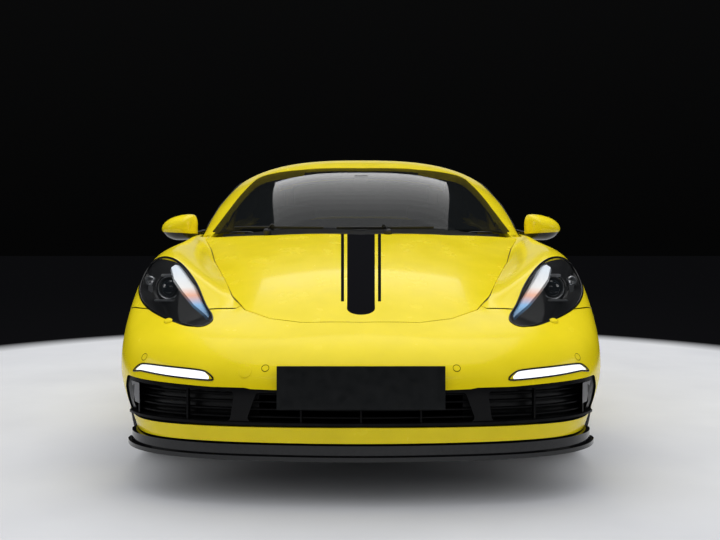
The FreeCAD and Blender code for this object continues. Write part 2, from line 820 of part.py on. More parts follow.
def make_front_grille():
    frame = slab("front", 8, 22).common(prism("front", pair(intake_line), -200, 420, 14,
                                              -seat_gap))
    frame = frame.cut(both_sides(prism("front", side_opening, -200, 420, 16)))
    frame = frame.cut(prism("front", pair(centre_opening), -200, 420, 14))
    bars = []
    for k in range(bar_count):
        z = 284 + bar_pitch * k
        bars.append(nose_band(42, 62, z, z + 4))
    post_zone = nose_band(30, 66, 264, 384)
    for x in (-742, -560, -386, -190, 0, 190, 386, 560, 742):
        bars.append(post_zone.common(box(x - 3, x + 3, -100, 420, 264, 384)))
    rails = [nose_band(24, 66, 263, 271), nose_band(24, 66, 376, 382)]
    grille = join([frame] + rails + bars)
    return largest(grille.common(box(-788, 788, -100, 420, 200, 420)))


def make_front_lip():
    blade = nose_band(24, lip_depth, lip_bottom, lip_bottom + 14)
    upper = nose_band(38, lip_depth, lip_bottom + 13, 197.5)
    lip = blade.fuse(upper).common(box(-806, 806, -50, 420, 100, 300))
    return largest(lip.cut(slab("front", -60, skin + seat_gap).common(
        box(-900, 900, -50, 600, 186, 260))))


def make_number_plate():
    plate = box(-plate_width / 2, plate_width / 2, 0, 4, plate_bottom,
                plate_bottom + plate_height)
    holder = box(-plate_width / 2 + 4, plate_width / 2 - 4, 4, 34, plate_bottom + 4,
                 plate_bottom + plate_height - 4)
    holder = holder.cut(slab("front", -seat_gap, 80))
    return largest(plate.fuse(holder))


lamp_depth = 112.0


def lamp_block(grow, depth, thickness):
    """What lies straight under the lamp's outline, from one depth to another."""
    face = sheets["front"][0].toShape().common(lamp_prism(grow))
    face.translate(V(0, 0, -depth))
    return face.extrude(V(0, 0, -thickness))


def make_headlamp():
    bucket = lamp_block(-2.0, 12, lamp_depth).cut(lamp_block(-6.0, 4, lamp_depth))
    barrel = rod(at(706, 640, 640), at(706, 560, 668), 48)
    barrel = barrel.fuse(Part.makeSphere(40, at(706, 575, 664)))
    lamp = bucket.fuse(barrel.common(lamp_block(-4.0, 16, lamp_depth)))
    lamp = lamp.cut(box(812, 850, 520, 620, 500, 655))
    return largest(lamp.cut(arch_cutter(front_axle, front_tyre_radius, front_arch + 8)))


lens_gap = 0.6


def make_headlamp_lens():
    return largest(slab("front", 0.5, 4.5).common(lamp_prism(-lens_gap)))


def make_running_lamp():
    keep = prism("front", running_line, -100, 420, 8, -seat_gap)
    return largest(slab("front", 1, 18).common(keep))


# Structure

def make_floor_pan():
    inner_x = sill_outer - sill_width
    parts = [
        box(-inner_x, inner_x, front_bulkhead, rear_bulkhead, floor_height,
            floor_height + floor_thickness),
        box(-tunnel_width / 2, tunnel_width / 2, front_bulkhead, rear_bulkhead, floor_height,
            tunnel_top),
        box(-inner_x, inner_x, front_bulkhead - bulkhead_thickness, front_bulkhead,
            floor_height, 760),
        box(-inner_x, inner_x, rear_bulkhead, rear_bulkhead + bulkhead_thickness,
            floor_height, 880),
    ]
    for side in (-1, 1):
        for station in jack_stations:
            parts.append(box(side * (sill_outer - 65), side * (sill_outer - 10), station - 40,
                             station + 40, floor_height - jack_pad_drop, floor_height))
            parts.append(box(side * (inner_x - 60), side * (sill_outer - 10), station - 40,
                             station + 40, floor_height - 2, floor_height))
        for x in (180, 540):
            parts.append(box(side * x, side * (x + 30), 1990, 2420, floor_height + 20,
                             seat_base - seat_gap))
    return join(parts)


def make_front_frame():
    end = front_bulkhead - bulkhead_thickness
    tray = box(-rail_outer, rail_outer, 60, end, tray_bottom, tray_top)
    tray = tray.cut(nose_band(-100, lip_depth + seat_gap, 100, 300))
    parts = [
        tray,
        box(-500, 500, 150, rail_start + 1, 430, 480),
        box(-rail_outer, rail_outer, 860, 920, 300, 330 - seat_gap),
    ]
    for side in (-1, 1):
        inner = side * (rail_outer - rail_width)
        outer = side * rail_outer
        parts.append(box(inner, outer, rail_start, end, tray_bottom, 330 - seat_gap))
        parts.append(box(inner, outer, rail_start, 320, 320, 480))
    return join(parts)


def make_rear_frame():
    start = rear_bulkhead + bulkhead_thickness
    parts = [
        box(-rail_outer, rail_outer, start, rear_tray_end, tray_bottom, tray_top),
        box(-rail_outer, rail_outer, 3870, 3930, 560, 600 - seat_gap),
    ]
    for side in (-1, 1):
        inner = side * (rail_outer - rail_width)
        outer = side * rail_outer
        parts.append(box(inner, outer, start, rear_tray_end - 10, tray_bottom, 325))
        parts.append(box(inner, outer, 3870, 3930, 320, 600 - seat_gap))
    return join(parts)


def make_wheel_liner(axle, height, radius, inner_x, sheet):
    outer = across_rod(inner_x, half_width, axle, height, radius + 6)
    inner = across_rod(inner_x - 50, 1100, axle, height, radius + 2)
    shell = outer.cut(inner)
    shell = shell.cut(box(0, 1200, axle - 600, axle + 600, -100, liner_bottom))
    shell = shell.cut(slab(sheet, -60, skin + seat_gap))
    return largest(shell)


def make_front_tub():
    outer = box(-380, 380, 560, 1180, 330, 620)
    inner = box(-380 + tub_wall, 380 - tub_wall, 560 + tub_wall, 1180 - tub_wall,
                330 + tub_wall, 700)
    return outer.cut(inner)


def make_rear_tub():
    outer = box(-470, 470, 3560, 4080, 600, 830)
    inner = box(-470 + tub_wall, 470 - tub_wall, 3560 + tub_wall, 4080 - tub_wall,
                600 + tub_wall, 900)
    return outer.cut(inner)


def make_engine_block():
    lower = box(-300, 300, 2760, 3262, tray_top + seat_gap, 420)
    upper = box(-230, 230, 2780, 3240, 420, 590)
    return join([lower, upper])


# Wheels

def spun(profile, x, station, z):
    """Spins a closed outline of (distance along the axle, radius) about the axle."""
    points = [V(a, 0, r) for a, r in profile]
    face = Part.Face(Part.Wire(Part.makePolygon(points + [points[0]]).Edges))
    solid = face.revolve(V(0, 0, 0), V(1, 0, 0), 360)
    solid.translate(at(x, station, z))
    return solid


def make_tyre(x, station, radius, width):
    half = width / 2
    profile = [(-half + 17, rim_radius), (-half + 15, rim_radius + 16), (-half + 2, radius - 52),
               (-half, radius - 40), (-half + 8, radius - 15), (-half + 26, radius - 4),
               (0, radius), (half - 26, radius - 4), (half - 8, radius - 15),
               (half, radius - 40), (half - 2, radius - 52), (half - 15, rim_radius + 16),
               (half - 17, rim_radius)]
    return spun(profile, x, station, radius)


def make_rim(x, station, z, width, side):
    half = width / 2
    edge = rim_radius - seat_gap
    well = rim_radius - 12
    barrel_profile = [(-half + 8, edge - 8), (-half + 8, rim_radius + 12),
                      (-half + rim_edge, rim_radius + 12), (-half + rim_edge, edge),
                      (half - rim_edge, edge), (half - rim_edge, rim_radius + 12),
                      (half - 8, rim_radius + 12), (half - 8, edge - 8), (half - 26, well - 8),
                      (-half + 26, well - 8)]
    barrel = spun(barrel_profile, 0, half_length, 0)
    face_x = half - rim_edge - spoke_setback
    hub = spun([(face_x - hub_depth, 0), (face_x - hub_depth, hub_radius),
                (face_x, hub_radius - 4), (face_x + 4, 30), (face_x + 4, 0)], 0, half_length, 0)
    parts = [barrel, hub]
    for k in range(spoke_count):
        spoke = box(face_x - 24, face_x + 2, half_length - 15, half_length + 15, 40,
                    rim_radius - 14)
        spoke.rotate(V(0, 0, 0), V(1, 0, 0), 360.0 * k / spoke_count)
        parts.append(spoke)
    rim = join(parts)
    if side < 0:
        rim = mirror(rim)
    rim.translate(V(x, station - half_length, z))
    return rim


def make_disc(x, station, z, width, side):
    inner = x - side * 52
    disc = rod(at(inner, station, z), at(inner + side * disc_thickness, station, z), disc_radius)
    hub_end = x + side * (width / 2 - rim_edge - spoke_setback - hub_depth)
    bell = rod(at(inner, station, z), at(hub_end, station, z), hub_radius)
    bore = rod(at(inner - side, station, z), at(inner + side * 60, station, z),
               spindle_radius + seat_gap)
    return disc.fuse(bell).cut(bore)


def make_knuckle(side):
    x = side * front_wheel_x
    pin_x = side * (front_wheel_x - kingpin_inset)
    z = front_tyre_radius
    s = front_axle
    lug_bottom = arm_height + 16 + seat_gap
    spindle = rod(at(x - side * 90, s, z), at(x, s, z), spindle_radius)
    upright = box(x - side * 100, x - side * 62, s - 55, s + 55, z - 120, z + 150)
    foot = box(x - side * 100, x - side * 62, s - 18, s + 18, lug_bottom, z - 100)
    lug = box(x - side * 100, pin_x + side * 18, s - 18, s + 18, lug_bottom, lug_bottom + 13)
    pin = rod(at(pin_x, s, arm_height - 14), at(pin_x, s, lug_bottom + 5), 8)
    caliper = box(x - side * 64, x - side * 2, s + 90, s + 178, z - 70, z + 90)
    slot = rod(at(x - side * 56, s, z), at(x - side * 16, s, z), disc_radius + 4)
    caliper = caliper.cut(slot)
    bridge = box(x - side * 100, x - side * 57, s + 30, s + 120, z - 30, z + 30)
    return largest(join([spindle, upright, foot, lug, pin, bridge, caliper]))


def make_front_suspension():
    shapes = []
    for side in (-1, 1):
        pin_x = side * (front_wheel_x - kingpin_inset)
        edge = side * rail_outer
        end = at(pin_x, front_axle, arm_height)
        inner = edge + side * 12
        parts = [rod(at(inner, front_axle - 45, arm_height), end, 12),
                 rod(at(inner, front_axle + 45, arm_height), end, 12),
                 rod(at(inner, front_axle + 170, arm_height), at(side * 590, front_axle,
                                                                arm_height), 12),
                 rod(at(pin_x, front_axle, arm_height - 14), at(pin_x, front_axle,
                                                                arm_height + 16), 22),
                 box(edge, edge + side * 36, front_axle - 70, front_axle + 195,
                     arm_height - 12, 200),
                 rod(at(side * 545, front_axle, arm_height), at(side * 545, front_axle, 560), 24),
                 rod(at(side * 545, front_axle, 550), at(side * 545, front_axle, 640), 34)]
        eye = rod(at(pin_x, front_axle, 90), at(pin_x, front_axle, 200), 8 + seat_gap)
        shapes.append(join(parts).cut(eye))
    return gather(shapes)


def make_rear_suspension():
    parts = [box(-262, 262, 3262, 3700, 210, 430)]
    z = rear_tyre_radius
    for side in (-1, 1):
        x = side * rear_wheel_x
        edge = side * rail_outer
        low = at(side * 640, rear_axle, 232)
        parts += [
            rod(at(x - side * 100, rear_axle, z), at(x, rear_axle, z), spindle_radius),
            box(x - side * 130, x - side * 62, rear_axle - 55, rear_axle + 55, z - 130,
                z + 150),
            rod(at(edge + side * 12, rear_axle - 160, 226), low, 15),
            rod(at(edge + side * 12, rear_axle + 160, 226), low, 15),
            box(edge, edge + side * 36, rear_axle - 185, rear_axle - 135, 205, 250),
            box(edge, edge + side * 36, rear_axle + 135, rear_axle + 185, 205, 250),
            rod(at(side * 255, rear_axle, z), at(x - side * 95, rear_axle, z), 18),
            rod(at(side * 560, rear_axle, 226), at(side * 560, rear_axle, 640), 26),
            rod(at(side * 560, rear_axle, 600), at(side * 560, rear_axle, 700), 38),
        ]
        caliper = box(x - side * 64, x - side * 2, rear_axle - 178, rear_axle - 90, z - 70,
                      z + 90)
        caliper = caliper.cut(rod(at(x - side * 56, rear_axle, z),
                                  at(x - side * 16, rear_axle, z), disc_radius + 4))
        bridge = box(x - side * 100, x - side * 57, rear_axle - 120, rear_axle - 30, z - 30,
                     z + 30)
        parts += [caliper, bridge]
    return join(parts)


# Inside

def make_seats():
    shapes = []
    for side in (-1, 1):
        profile = [(1970, seat_base), (1930, 330), (1990, 400), (2330, 352), (2400, 420),
                   (2480, 860), (2505, 1010), (2560, 1040), (2600, 1000), (2545, 800),
                   (2470, 330), (2430, seat_base)]
        shapes.append(prism("side", profile, side * 140, side * 610, 30))
    return gather(shapes)


wheel_rim_centre = (350.0, 1840.0, 745.0)
column_tilt = 24.0


def make_dashboard():
    profile = [(1350, 600), (1350, 700), (1445, 800), (1500, 856), (1600, 868), (1690, 850),
               (1725, 790), (1700, 690), (1600, 600)]
    board = prism("side", profile, -665, 665, 25)
    board = board.cut(slab("canopy", -300, pillar_depth + 2).common(
        box(-800, 800, 1200, 1760, 700, 1300)))
    board = board.cut(lid_hole)
    column = V(0, math.cos(math.radians(column_tilt)), math.sin(math.radians(column_tilt)))
    end = at(*wheel_rim_centre) - column * (95 + seat_gap)
    board = board.fuse(rod(end, end - column * 150, 34))
    console = box(-105, 105, 1400, 2350, tunnel_top, 470).fuse(
        box(-105, 105, 1400, 1690, tunnel_top, 700))
    return largest(join([board, console]))


def make_steering_wheel():
    ring = Part.makeTorus(178, 15, V(0, 0, 0), V(0, 1, 0))
    hub = Part.makeCylinder(55, 40, V(0, -10, 0), V(0, 1, 0))
    parts = [ring, hub]
    for angle in (0, 180, 270):
        spoke = Part.makeBox(180, 14, 36, V(0, -7, -18))
        spoke.rotate(V(0, 0, 0), V(0, 1, 0), angle)
        parts.append(spoke.common(Part.makeCylinder(180, 30, V(0, -15, 0), V(0, 1, 0))))
    shape = join(parts)
    shape = shape.fuse(Part.makeCylinder(22, 90, V(0, -95, 0), V(0, 1, 0)))
    shape.rotate(V(0, 0, 0), V(1, 0, 0), column_tilt)
    shape.translate(at(*wheel_rim_centre))
    return shape


# Write every piece
def main():
    os.makedirs("parts", exist_ok=True)
    save("front_bumper", make_front_bumper())
    wing = make_front_wing()
    save("front_wing_left", wing)
    save("front_wing_right", mirror(wing))
    save("front_lid", make_front_lid())
    save("cowl_panel", make_cowl_panel())
    save("roof_panel", make_roof_panel())
    save("windscreen", make_windscreen())
    side_frame = make_body_side()
    save("body_side_left", side_frame)
    save("body_side_right", mirror(side_frame))
    door = make_door()
    save("door_left", door)
    save("door_right", mirror(door))
    pane = make_door_glass()
    save("door_glass_left", pane)
    save("door_glass_right", mirror(pane))
    housing = make_mirror()
    save("mirror_left", housing)
    save("mirror_right", mirror(housing))
    quarter = make_quarter_window()
    save("quarter_windows", gather([quarter, mirror(quarter)]))
    save("rear_hatch", make_rear_hatch())
    save("hatch_glass", make_hatch_glass())
    save("rear_bumper", make_rear_bumper())
    lens = make_tail_lamp()
    save("tail_lamps", gather([lens, mirror(lens)]))
    save("rear_spoiler", make_rear_spoiler())
    save("rear_diffuser", make_rear_diffuser())
    save("exhaust_tips", make_exhaust_tips())
    save("front_grille", make_front_grille())
    save("front_lip", make_front_lip())
    save("number_plate", make_number_plate())
    lamp = make_headlamp()
    save("headlamps", gather([lamp, mirror(lamp)]))
    cover = make_headlamp_lens()
    save("headlamp_lenses", gather([cover, mirror(cover)]))
    running = make_running_lamp()
    save("running_lamps", gather([running, mirror(running)]))
    save("floor_pan", make_floor_pan())
    save("front_frame", make_front_frame())
    save("rear_frame", make_rear_frame())
    liners = [make_wheel_liner(front_axle, front_tyre_radius, front_arch, 600, "front"),
              make_wheel_liner(rear_axle, rear_tyre_radius, rear_arch, 560, "rear")]
    save("wheel_liners", gather(liners + [mirror(shape) for shape in liners]))
    save("luggage_tubs", gather([make_front_tub(), make_rear_tub()]))
    save("engine_block", make_engine_block())
    for side, label in ((1, "left"), (-1, "right")):
        save("tyre_front_" + label, make_tyre(side * front_wheel_x, front_axle,
                                              front_tyre_radius, front_tyre_width))
        save("tyre_rear_" + label, make_tyre(side * rear_wheel_x, rear_axle,
                                             rear_tyre_radius, rear_tyre_width))
        save("rim_front_" + label, gather([
            make_rim(side * front_wheel_x, front_axle, front_tyre_radius, front_tyre_width, side),
            make_disc(side * front_wheel_x, front_axle, front_tyre_radius, front_tyre_width,
                      side)]))
        save("rim_rear_" + label, gather([
            make_rim(side * rear_wheel_x, rear_axle, rear_tyre_radius, rear_tyre_width, side),
            make_disc(side * rear_wheel_x, rear_axle, rear_tyre_radius, rear_tyre_width,
                      side)]))
        save("knuckle_" + label, make_knuckle(side))
    save("front_suspension", make_front_suspension())
    save("rear_suspension", make_rear_suspension())
    save("seats", make_seats())
    save("dashboard", make_dashboard())
    save("steering_wheel", make_steering_wheel())


if __name__ == "__main__":
    main()
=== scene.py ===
"""The looks of a yellow two-seat coupe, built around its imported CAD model."""
import json
import math

import bmesh
import bpy
import numpy as np
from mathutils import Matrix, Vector
from mathutils.bvhtree import BVHTree
from mathutils.interpolate import poly_3d_calc


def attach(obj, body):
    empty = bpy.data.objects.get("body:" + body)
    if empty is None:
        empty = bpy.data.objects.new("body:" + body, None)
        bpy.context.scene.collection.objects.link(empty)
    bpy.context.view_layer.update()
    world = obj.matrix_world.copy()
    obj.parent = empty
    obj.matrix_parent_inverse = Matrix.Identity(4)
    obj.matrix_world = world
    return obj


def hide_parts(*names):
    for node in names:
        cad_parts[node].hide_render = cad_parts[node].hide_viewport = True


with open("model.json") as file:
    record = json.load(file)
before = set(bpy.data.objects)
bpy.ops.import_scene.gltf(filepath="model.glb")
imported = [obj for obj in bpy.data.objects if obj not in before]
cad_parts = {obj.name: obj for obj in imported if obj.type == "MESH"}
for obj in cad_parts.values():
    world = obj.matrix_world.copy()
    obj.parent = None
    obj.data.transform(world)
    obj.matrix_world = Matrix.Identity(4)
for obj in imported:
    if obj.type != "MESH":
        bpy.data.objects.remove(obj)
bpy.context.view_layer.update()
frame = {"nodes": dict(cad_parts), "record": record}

HALF_LENGTH = 2.1965
FRONT_AXLE = 0.925 - HALF_LENGTH
REAR_AXLE = 3.4 - HALF_LENGTH


def at(x, station, z):
    """A point in metres from millimetres across, behind the nose and up."""
    return Vector((x / 1000, station / 1000 - HALF_LENGTH, z / 1000))


def side_name(side):
    """The car's own left for 1, where X grows, and its right for -1."""
    return "left" if side > 0 else "right"


# Shader expressions

class Wire:
    """A socket, or a plain number, whose arithmetic adds Math nodes to its tree."""

    def __init__(self, tree, socket=None):
        self.tree = tree
        self.socket = socket

    def node(self, kind, settings=None, sockets=None, output=0):
        made = self.tree.nodes.new(kind)
        for name, value in (settings or {}).items():
            if name == "stops":
                ramp = made.color_ramp
                while len(ramp.elements) < len(value):
                    ramp.elements.new(0.5)
                for element, (place, colour) in zip(ramp.elements, value):
                    element.position = place
                    element.color = colour
            else:
                setattr(made, name, value)
        for name, value in (sockets or {}).items():
            target = made.inputs[name]
            if isinstance(value, Wire):
                self.tree.links.new(value.socket, target)
            else:
                target.default_value = value
        return Wire(self.tree, made.outputs[output])

    def maths(self, operation, *values):
        sockets = dict(enumerate(values))
        return self.node("ShaderNodeMath", {"operation": operation}, sockets)

    def __add__(self, other):
        return self.maths("ADD", self, other)

    def __sub__(self, other):
        return self.maths("SUBTRACT", self, other)

    def __rsub__(self, other):
        return self.maths("SUBTRACT", other, self)

    def __mul__(self, other):
        return self.maths("MULTIPLY", self, other)

    def __truediv__(self, other):
        return self.maths("DIVIDE", self, other)

    def __abs__(self):
        return self.maths("ABSOLUTE", self)

    def root(self):
        return self.maths("SQRT", self)

    def larger(self, other):
        return self.maths("MAXIMUM", self, other)

    def below(self, other):
        return self.maths("LESS_THAN", self, other)

    def above(self, other):
        return self.maths("GREATER_THAN", self, other)

    def mix(self, low, high):
        """The colour low where this is 0 and high where it is 1."""
        settings = {"data_type": "RGBA"}
        return self.node("ShaderNodeMix", settings, {0: self, 6: low, 7: high}, 2)

    def parts(self):
        """The X, Y and Z of a vector."""
        first = self.node("ShaderNodeSeparateXYZ", {}, {0: self})
        outputs = first.socket.node.outputs
        return [Wire(self.tree, outputs[k]) for k in range(3)]

    def noise(self, scale, detail=2.0, roughness=0.5):
        sockets = {"Vector": self, "Scale": scale, "Detail": detail, "Roughness": roughness}
        return self.node("ShaderNodeTexNoise", {}, sockets)

    def spread(self, low, high, new_low=0.0, new_high=1.0):
        """This value moved from one range to another and held there."""
        sockets = {"Value": self, "From Min": low, "From Max": high,
                   "To Min": new_low, "To Max": new_high}
        return self.node("ShaderNodeMapRange", {}, sockets)

    def bump(self, height, distance=0.001):
        sockets = {"Strength": height, "Distance": distance, "Height": self}
        return self.node("ShaderNodeBump", {}, sockets)


def finish(name, colour, roughness=0.5, **sockets):
    """A material and the wire of its Object coordinates. Sockets go on its shader."""
    material = bpy.data.materials.new(name)
    material.use_nodes = True
    tree = material.node_tree
    shader = tree.nodes["Principled BSDF"]
    shader.inputs["Base Color"].default_value = (*colour, 1.0)
    shader.inputs["Roughness"].default_value = roughness
    for key, value in sockets.items():
        label = key.replace("_", " ").title().replace("Ior", "IOR")
        shader.inputs[label].default_value = value
    coordinates = Wire(tree).node("ShaderNodeTexCoord", output=3)
    return material, coordinates


def feed(material, socket, wire):
    shader = material.node_tree.nodes["Principled BSDF"]
    material.node_tree.links.new(wire.socket, shader.inputs[socket])


# Finishes

YELLOW = (0.90, 0.715, 0.006)
BLACK = (0.006, 0.006, 0.007)
LACQUER = {"coat_weight": 0.25, "coat_roughness": 0.06, "specular_ior_level": 0.2}
STRIPE_START, STRIPE_END = 0.405 - HALF_LENGTH, 1.290 - HALF_LENGTH
STRIPE_ROUNDING = 0.352 - HALF_LENGTH


def paint_finish(name, colour, roughness=0.24):
    """Solid paint under clear coat, with the faint skin of sprayed lacquer."""
    material, place = finish(name, colour, roughness, **LACQUER)
    cloud = place.noise(9.0, 3.0)
    deeper = tuple(0.93 * c for c in colour)
    feed(material, "Base Color", cloud.spread(0.3, 0.7).mix((*deeper, 1.0), (*colour, 1.0)))
    feed(material, "Roughness", cloud.spread(0.2, 0.8, roughness * 0.85, roughness * 1.2))
    skin = place.noise(420.0, 1.0)
    feed(material, "Normal", skin.bump(0.012, 0.0005))
    return material


def striped_paint():
    """The lid's paint with its black centre stripe and two thin lines beside it."""
    material, place = finish("lid_paint", YELLOW, 0.24, **LACQUER)
    x, y, _ = place.parts()
    along = y.spread(STRIPE_START, STRIPE_END)
    half = along * 0.013 + 0.049
    beyond = (STRIPE_ROUNDING - y).larger(0.0)
    centre = (x * x + beyond * beyond).root().below(half)
    line_in = abs(x).above(along * 0.016 + 0.060)
    line_out = abs(x).below(along * 0.019 + 0.071)
    lines = line_in * line_out * y.above(STRIPE_START)
    stripe = centre.larger(lines)
    cloud = place.noise(9.0, 3.0).spread(0.3, 0.7)
    deeper = tuple(0.93 * c for c in YELLOW)
    ground = cloud.mix((*deeper, 1.0), (*YELLOW, 1.0))
    feed(material, "Base Color", ground)
    feed(material, "Roughness", cloud.spread(0.0, 1.0, 0.2, 0.29))
    feed(material, "Normal", place.noise(420.0, 1.0).bump(0.012, 0.0005))
    nodes = material.node_tree.nodes
    film = place.node("ShaderNodeBsdfPrincipled", {}, {
        "Base Color": (*BLACK, 1.0), "Roughness": 0.6, "Specular IOR Level": 0.0})
    painted = Wire(material.node_tree, nodes["Principled BSDF"].outputs[0])
    both = place.node("ShaderNodeMixShader", {}, {0: stripe, 1: painted, 2: film})
    surface = nodes["Material Output"].inputs["Surface"]
    material.node_tree.links.new(both.socket, surface)
    return material


def gloss_finish(name, colour, roughness=0.12):
    """Polished moulded plastic with faint dust."""
    material, place = finish(name, colour, roughness, coat_weight=0.3, coat_roughness=0.05,
                             specular_ior_level=0.3)
    dust = place.noise(60.0, 4.0).spread(0.35, 0.75)
    paler = tuple(c * 1.5 + 0.002 for c in colour)
    feed(material, "Base Color", dust.mix((*colour, 1.0), (*paler, 1.0)))
    feed(material, "Roughness", dust.spread(0.0, 1.0, roughness, roughness * 2.2))
    return material


def grained_finish(name, colour, roughness=0.55, grain=900.0, depth=0.25):
    """Moulded plastic or rubber with a fine grain."""
    material, place = finish(name, colour, roughness)
    wear = place.noise(14.0, 4.0).spread(0.3, 0.75)
    paler = tuple(c * 1.7 + 0.004 for c in colour)
    feed(material, "Base Color", wear.mix((*colour, 1.0), (*paler, 1.0)))
    rougher = min(1.0, roughness * 1.25)
    feed(material, "Roughness", wear.spread(0.0, 1.0, roughness * 0.85, rougher))
    feed(material, "Normal", place.noise(grain, 2.0).bump(depth, 0.0006))
    return material


def metal_finish(name, colour, roughness=0.25, scratches=0.1):
    """Bare or coated metal with brushing and stains."""
    material, place = finish(name, colour, roughness, metallic=1.0)
    stain = place.noise(22.0, 5.0).spread(0.3, 0.75)
    darker = tuple(0.72 * c for c in colour)
    feed(material, "Base Color", stain.mix((*darker, 1.0), (*colour, 1.0)))
    feed(material, "Roughness", stain.spread(0.0, 1.0, roughness * 1.5, roughness * 0.9))
    feed(material, "Normal", place.noise(700.0, 3.0).bump(scratches, 0.0003))
    return material


def glass_finish(name, colour, alpha, roughness=0.02):
    """Clear or tinted glass with a little haze."""
    material, place = finish(name, colour, roughness, coat_weight=1.0, coat_roughness=0.01,
                             specular_ior_level=1.0)
    haze = place.noise(5.0, 3.0).spread(0.3, 0.8)
    feed(material, "Alpha", haze.spread(0.0, 1.0, alpha * 0.96, min(1.0, alpha * 1.04)))
    feed(material, "Roughness", haze.spread(0.0, 1.0, roughness, roughness * 2.5))
    material.surface_render_method = "BLENDED"
    return material


paint = paint_finish("yellow_paint", YELLOW)
lid_paint = striped_paint()
black_gloss = gloss_finish("black_gloss", (0.003, 0.003, 0.0035))
black_plastic = grained_finish("black_plastic", (0.014, 0.014, 0.015))
screen_glass = glass_finish("screen_glass", (0.012, 0.014, 0.015), 0.45)
dark_glass = glass_finish("dark_glass", (0.010, 0.012, 0.013), 0.72)
lamp_glass = glass_finish("lamp_glass", (0.05, 0.055, 0.06), 0.05)
chrome = metal_finish("chrome", (0.86, 0.87, 0.88), 0.06, 0.02)
satin_metal = metal_finish("satin_metal", (0.50, 0.51, 0.53), 0.32)
rubber = grained_finish("rubber", (0.012, 0.012, 0.012), 0.72, 260.0, 0.35)
soft_trim = grained_finish("soft_trim", (0.015, 0.015, 0.016), 0.6, 800.0, 0.4)
headlining = grained_finish("headlining", (0.020, 0.020, 0.021), 0.9, 1400.0, 0.6)
underseal = grained_finish("underseal", (0.018, 0.018, 0.018), 0.8, 160.0, 0.5)


# The body's master sheets, as the CAD source has them, for smooth highlights

def spline_matrix(knots, places):
    """Rows that turn a smooth curve's values at its knots into values at places."""
    n = len(knots)
    steps = np.diff(knots)
    left = np.zeros((n, n))
    right = np.zeros((n, n))
    for i in range(1, n - 1):
        before, after = steps[i - 1], steps[i]
        left[i, i - 1:i + 2] = (after, 2 * (before + after), before)
        right[i, i - 1] = -3 * after / before
        right[i, i] = 3 * (after / before - before / after)
        right[i, i + 1] = 3 * before / after
    for end, near in ((0, range(4)), (n - 1, range(n - 4, n))):
        near = list(near)
        powers = np.array([[(knots[j] - knots[end]) ** k for j in near] for k in range(4)])
        left[end, end] = 1.0
        right[end, near] = np.linalg.solve(powers, [0.0, 1.0, 0.0, 0.0])
    slopes = np.linalg.solve(left, right)
    rows = np.zeros((len(places), n))
    for r, place in enumerate(places):
        i = min(max(int(np.searchsorted(knots, place)) - 1, 0), n - 2)
        h = steps[i]
        t = (place - knots[i]) / h
        rows[r, i] += (1 + 2 * t) * (1 - t) ** 2
        rows[r, i + 1] += t * t * (3 - 2 * t)
        rows[r] += h * t * (1 - t) ** 2 * slopes[i] + h * t * t * (t - 1) * slopes[i + 1]
    return rows


def chord_knots(lines):
    """Knots at the mean share of each line's length."""
    steps = np.linalg.norm(np.diff(lines, axis=1), axis=2)
    whole = steps.sum(axis=1)
    kept = whole > 1e-6
    shares = (np.cumsum(steps[kept], axis=1) / whole[kept, None]).mean(axis=0)
    return np.concatenate(([0.0], shares / shares[-1]))


def sheet(rows, along=260, across=150):
    """A fine grid of points over the smooth sheet through the rows' points."""
    points = np.array(rows, float)
    along_knots = chord_knots(points.transpose(1, 0, 2))
    across_knots = chord_knots(points)
    down = spline_matrix(along_knots, np.linspace(0, 1, along))
    over = spline_matrix(across_knots, np.linspace(0, 1, across))
    return np.einsum("ri,ijk,cj->rck", down, points, over)


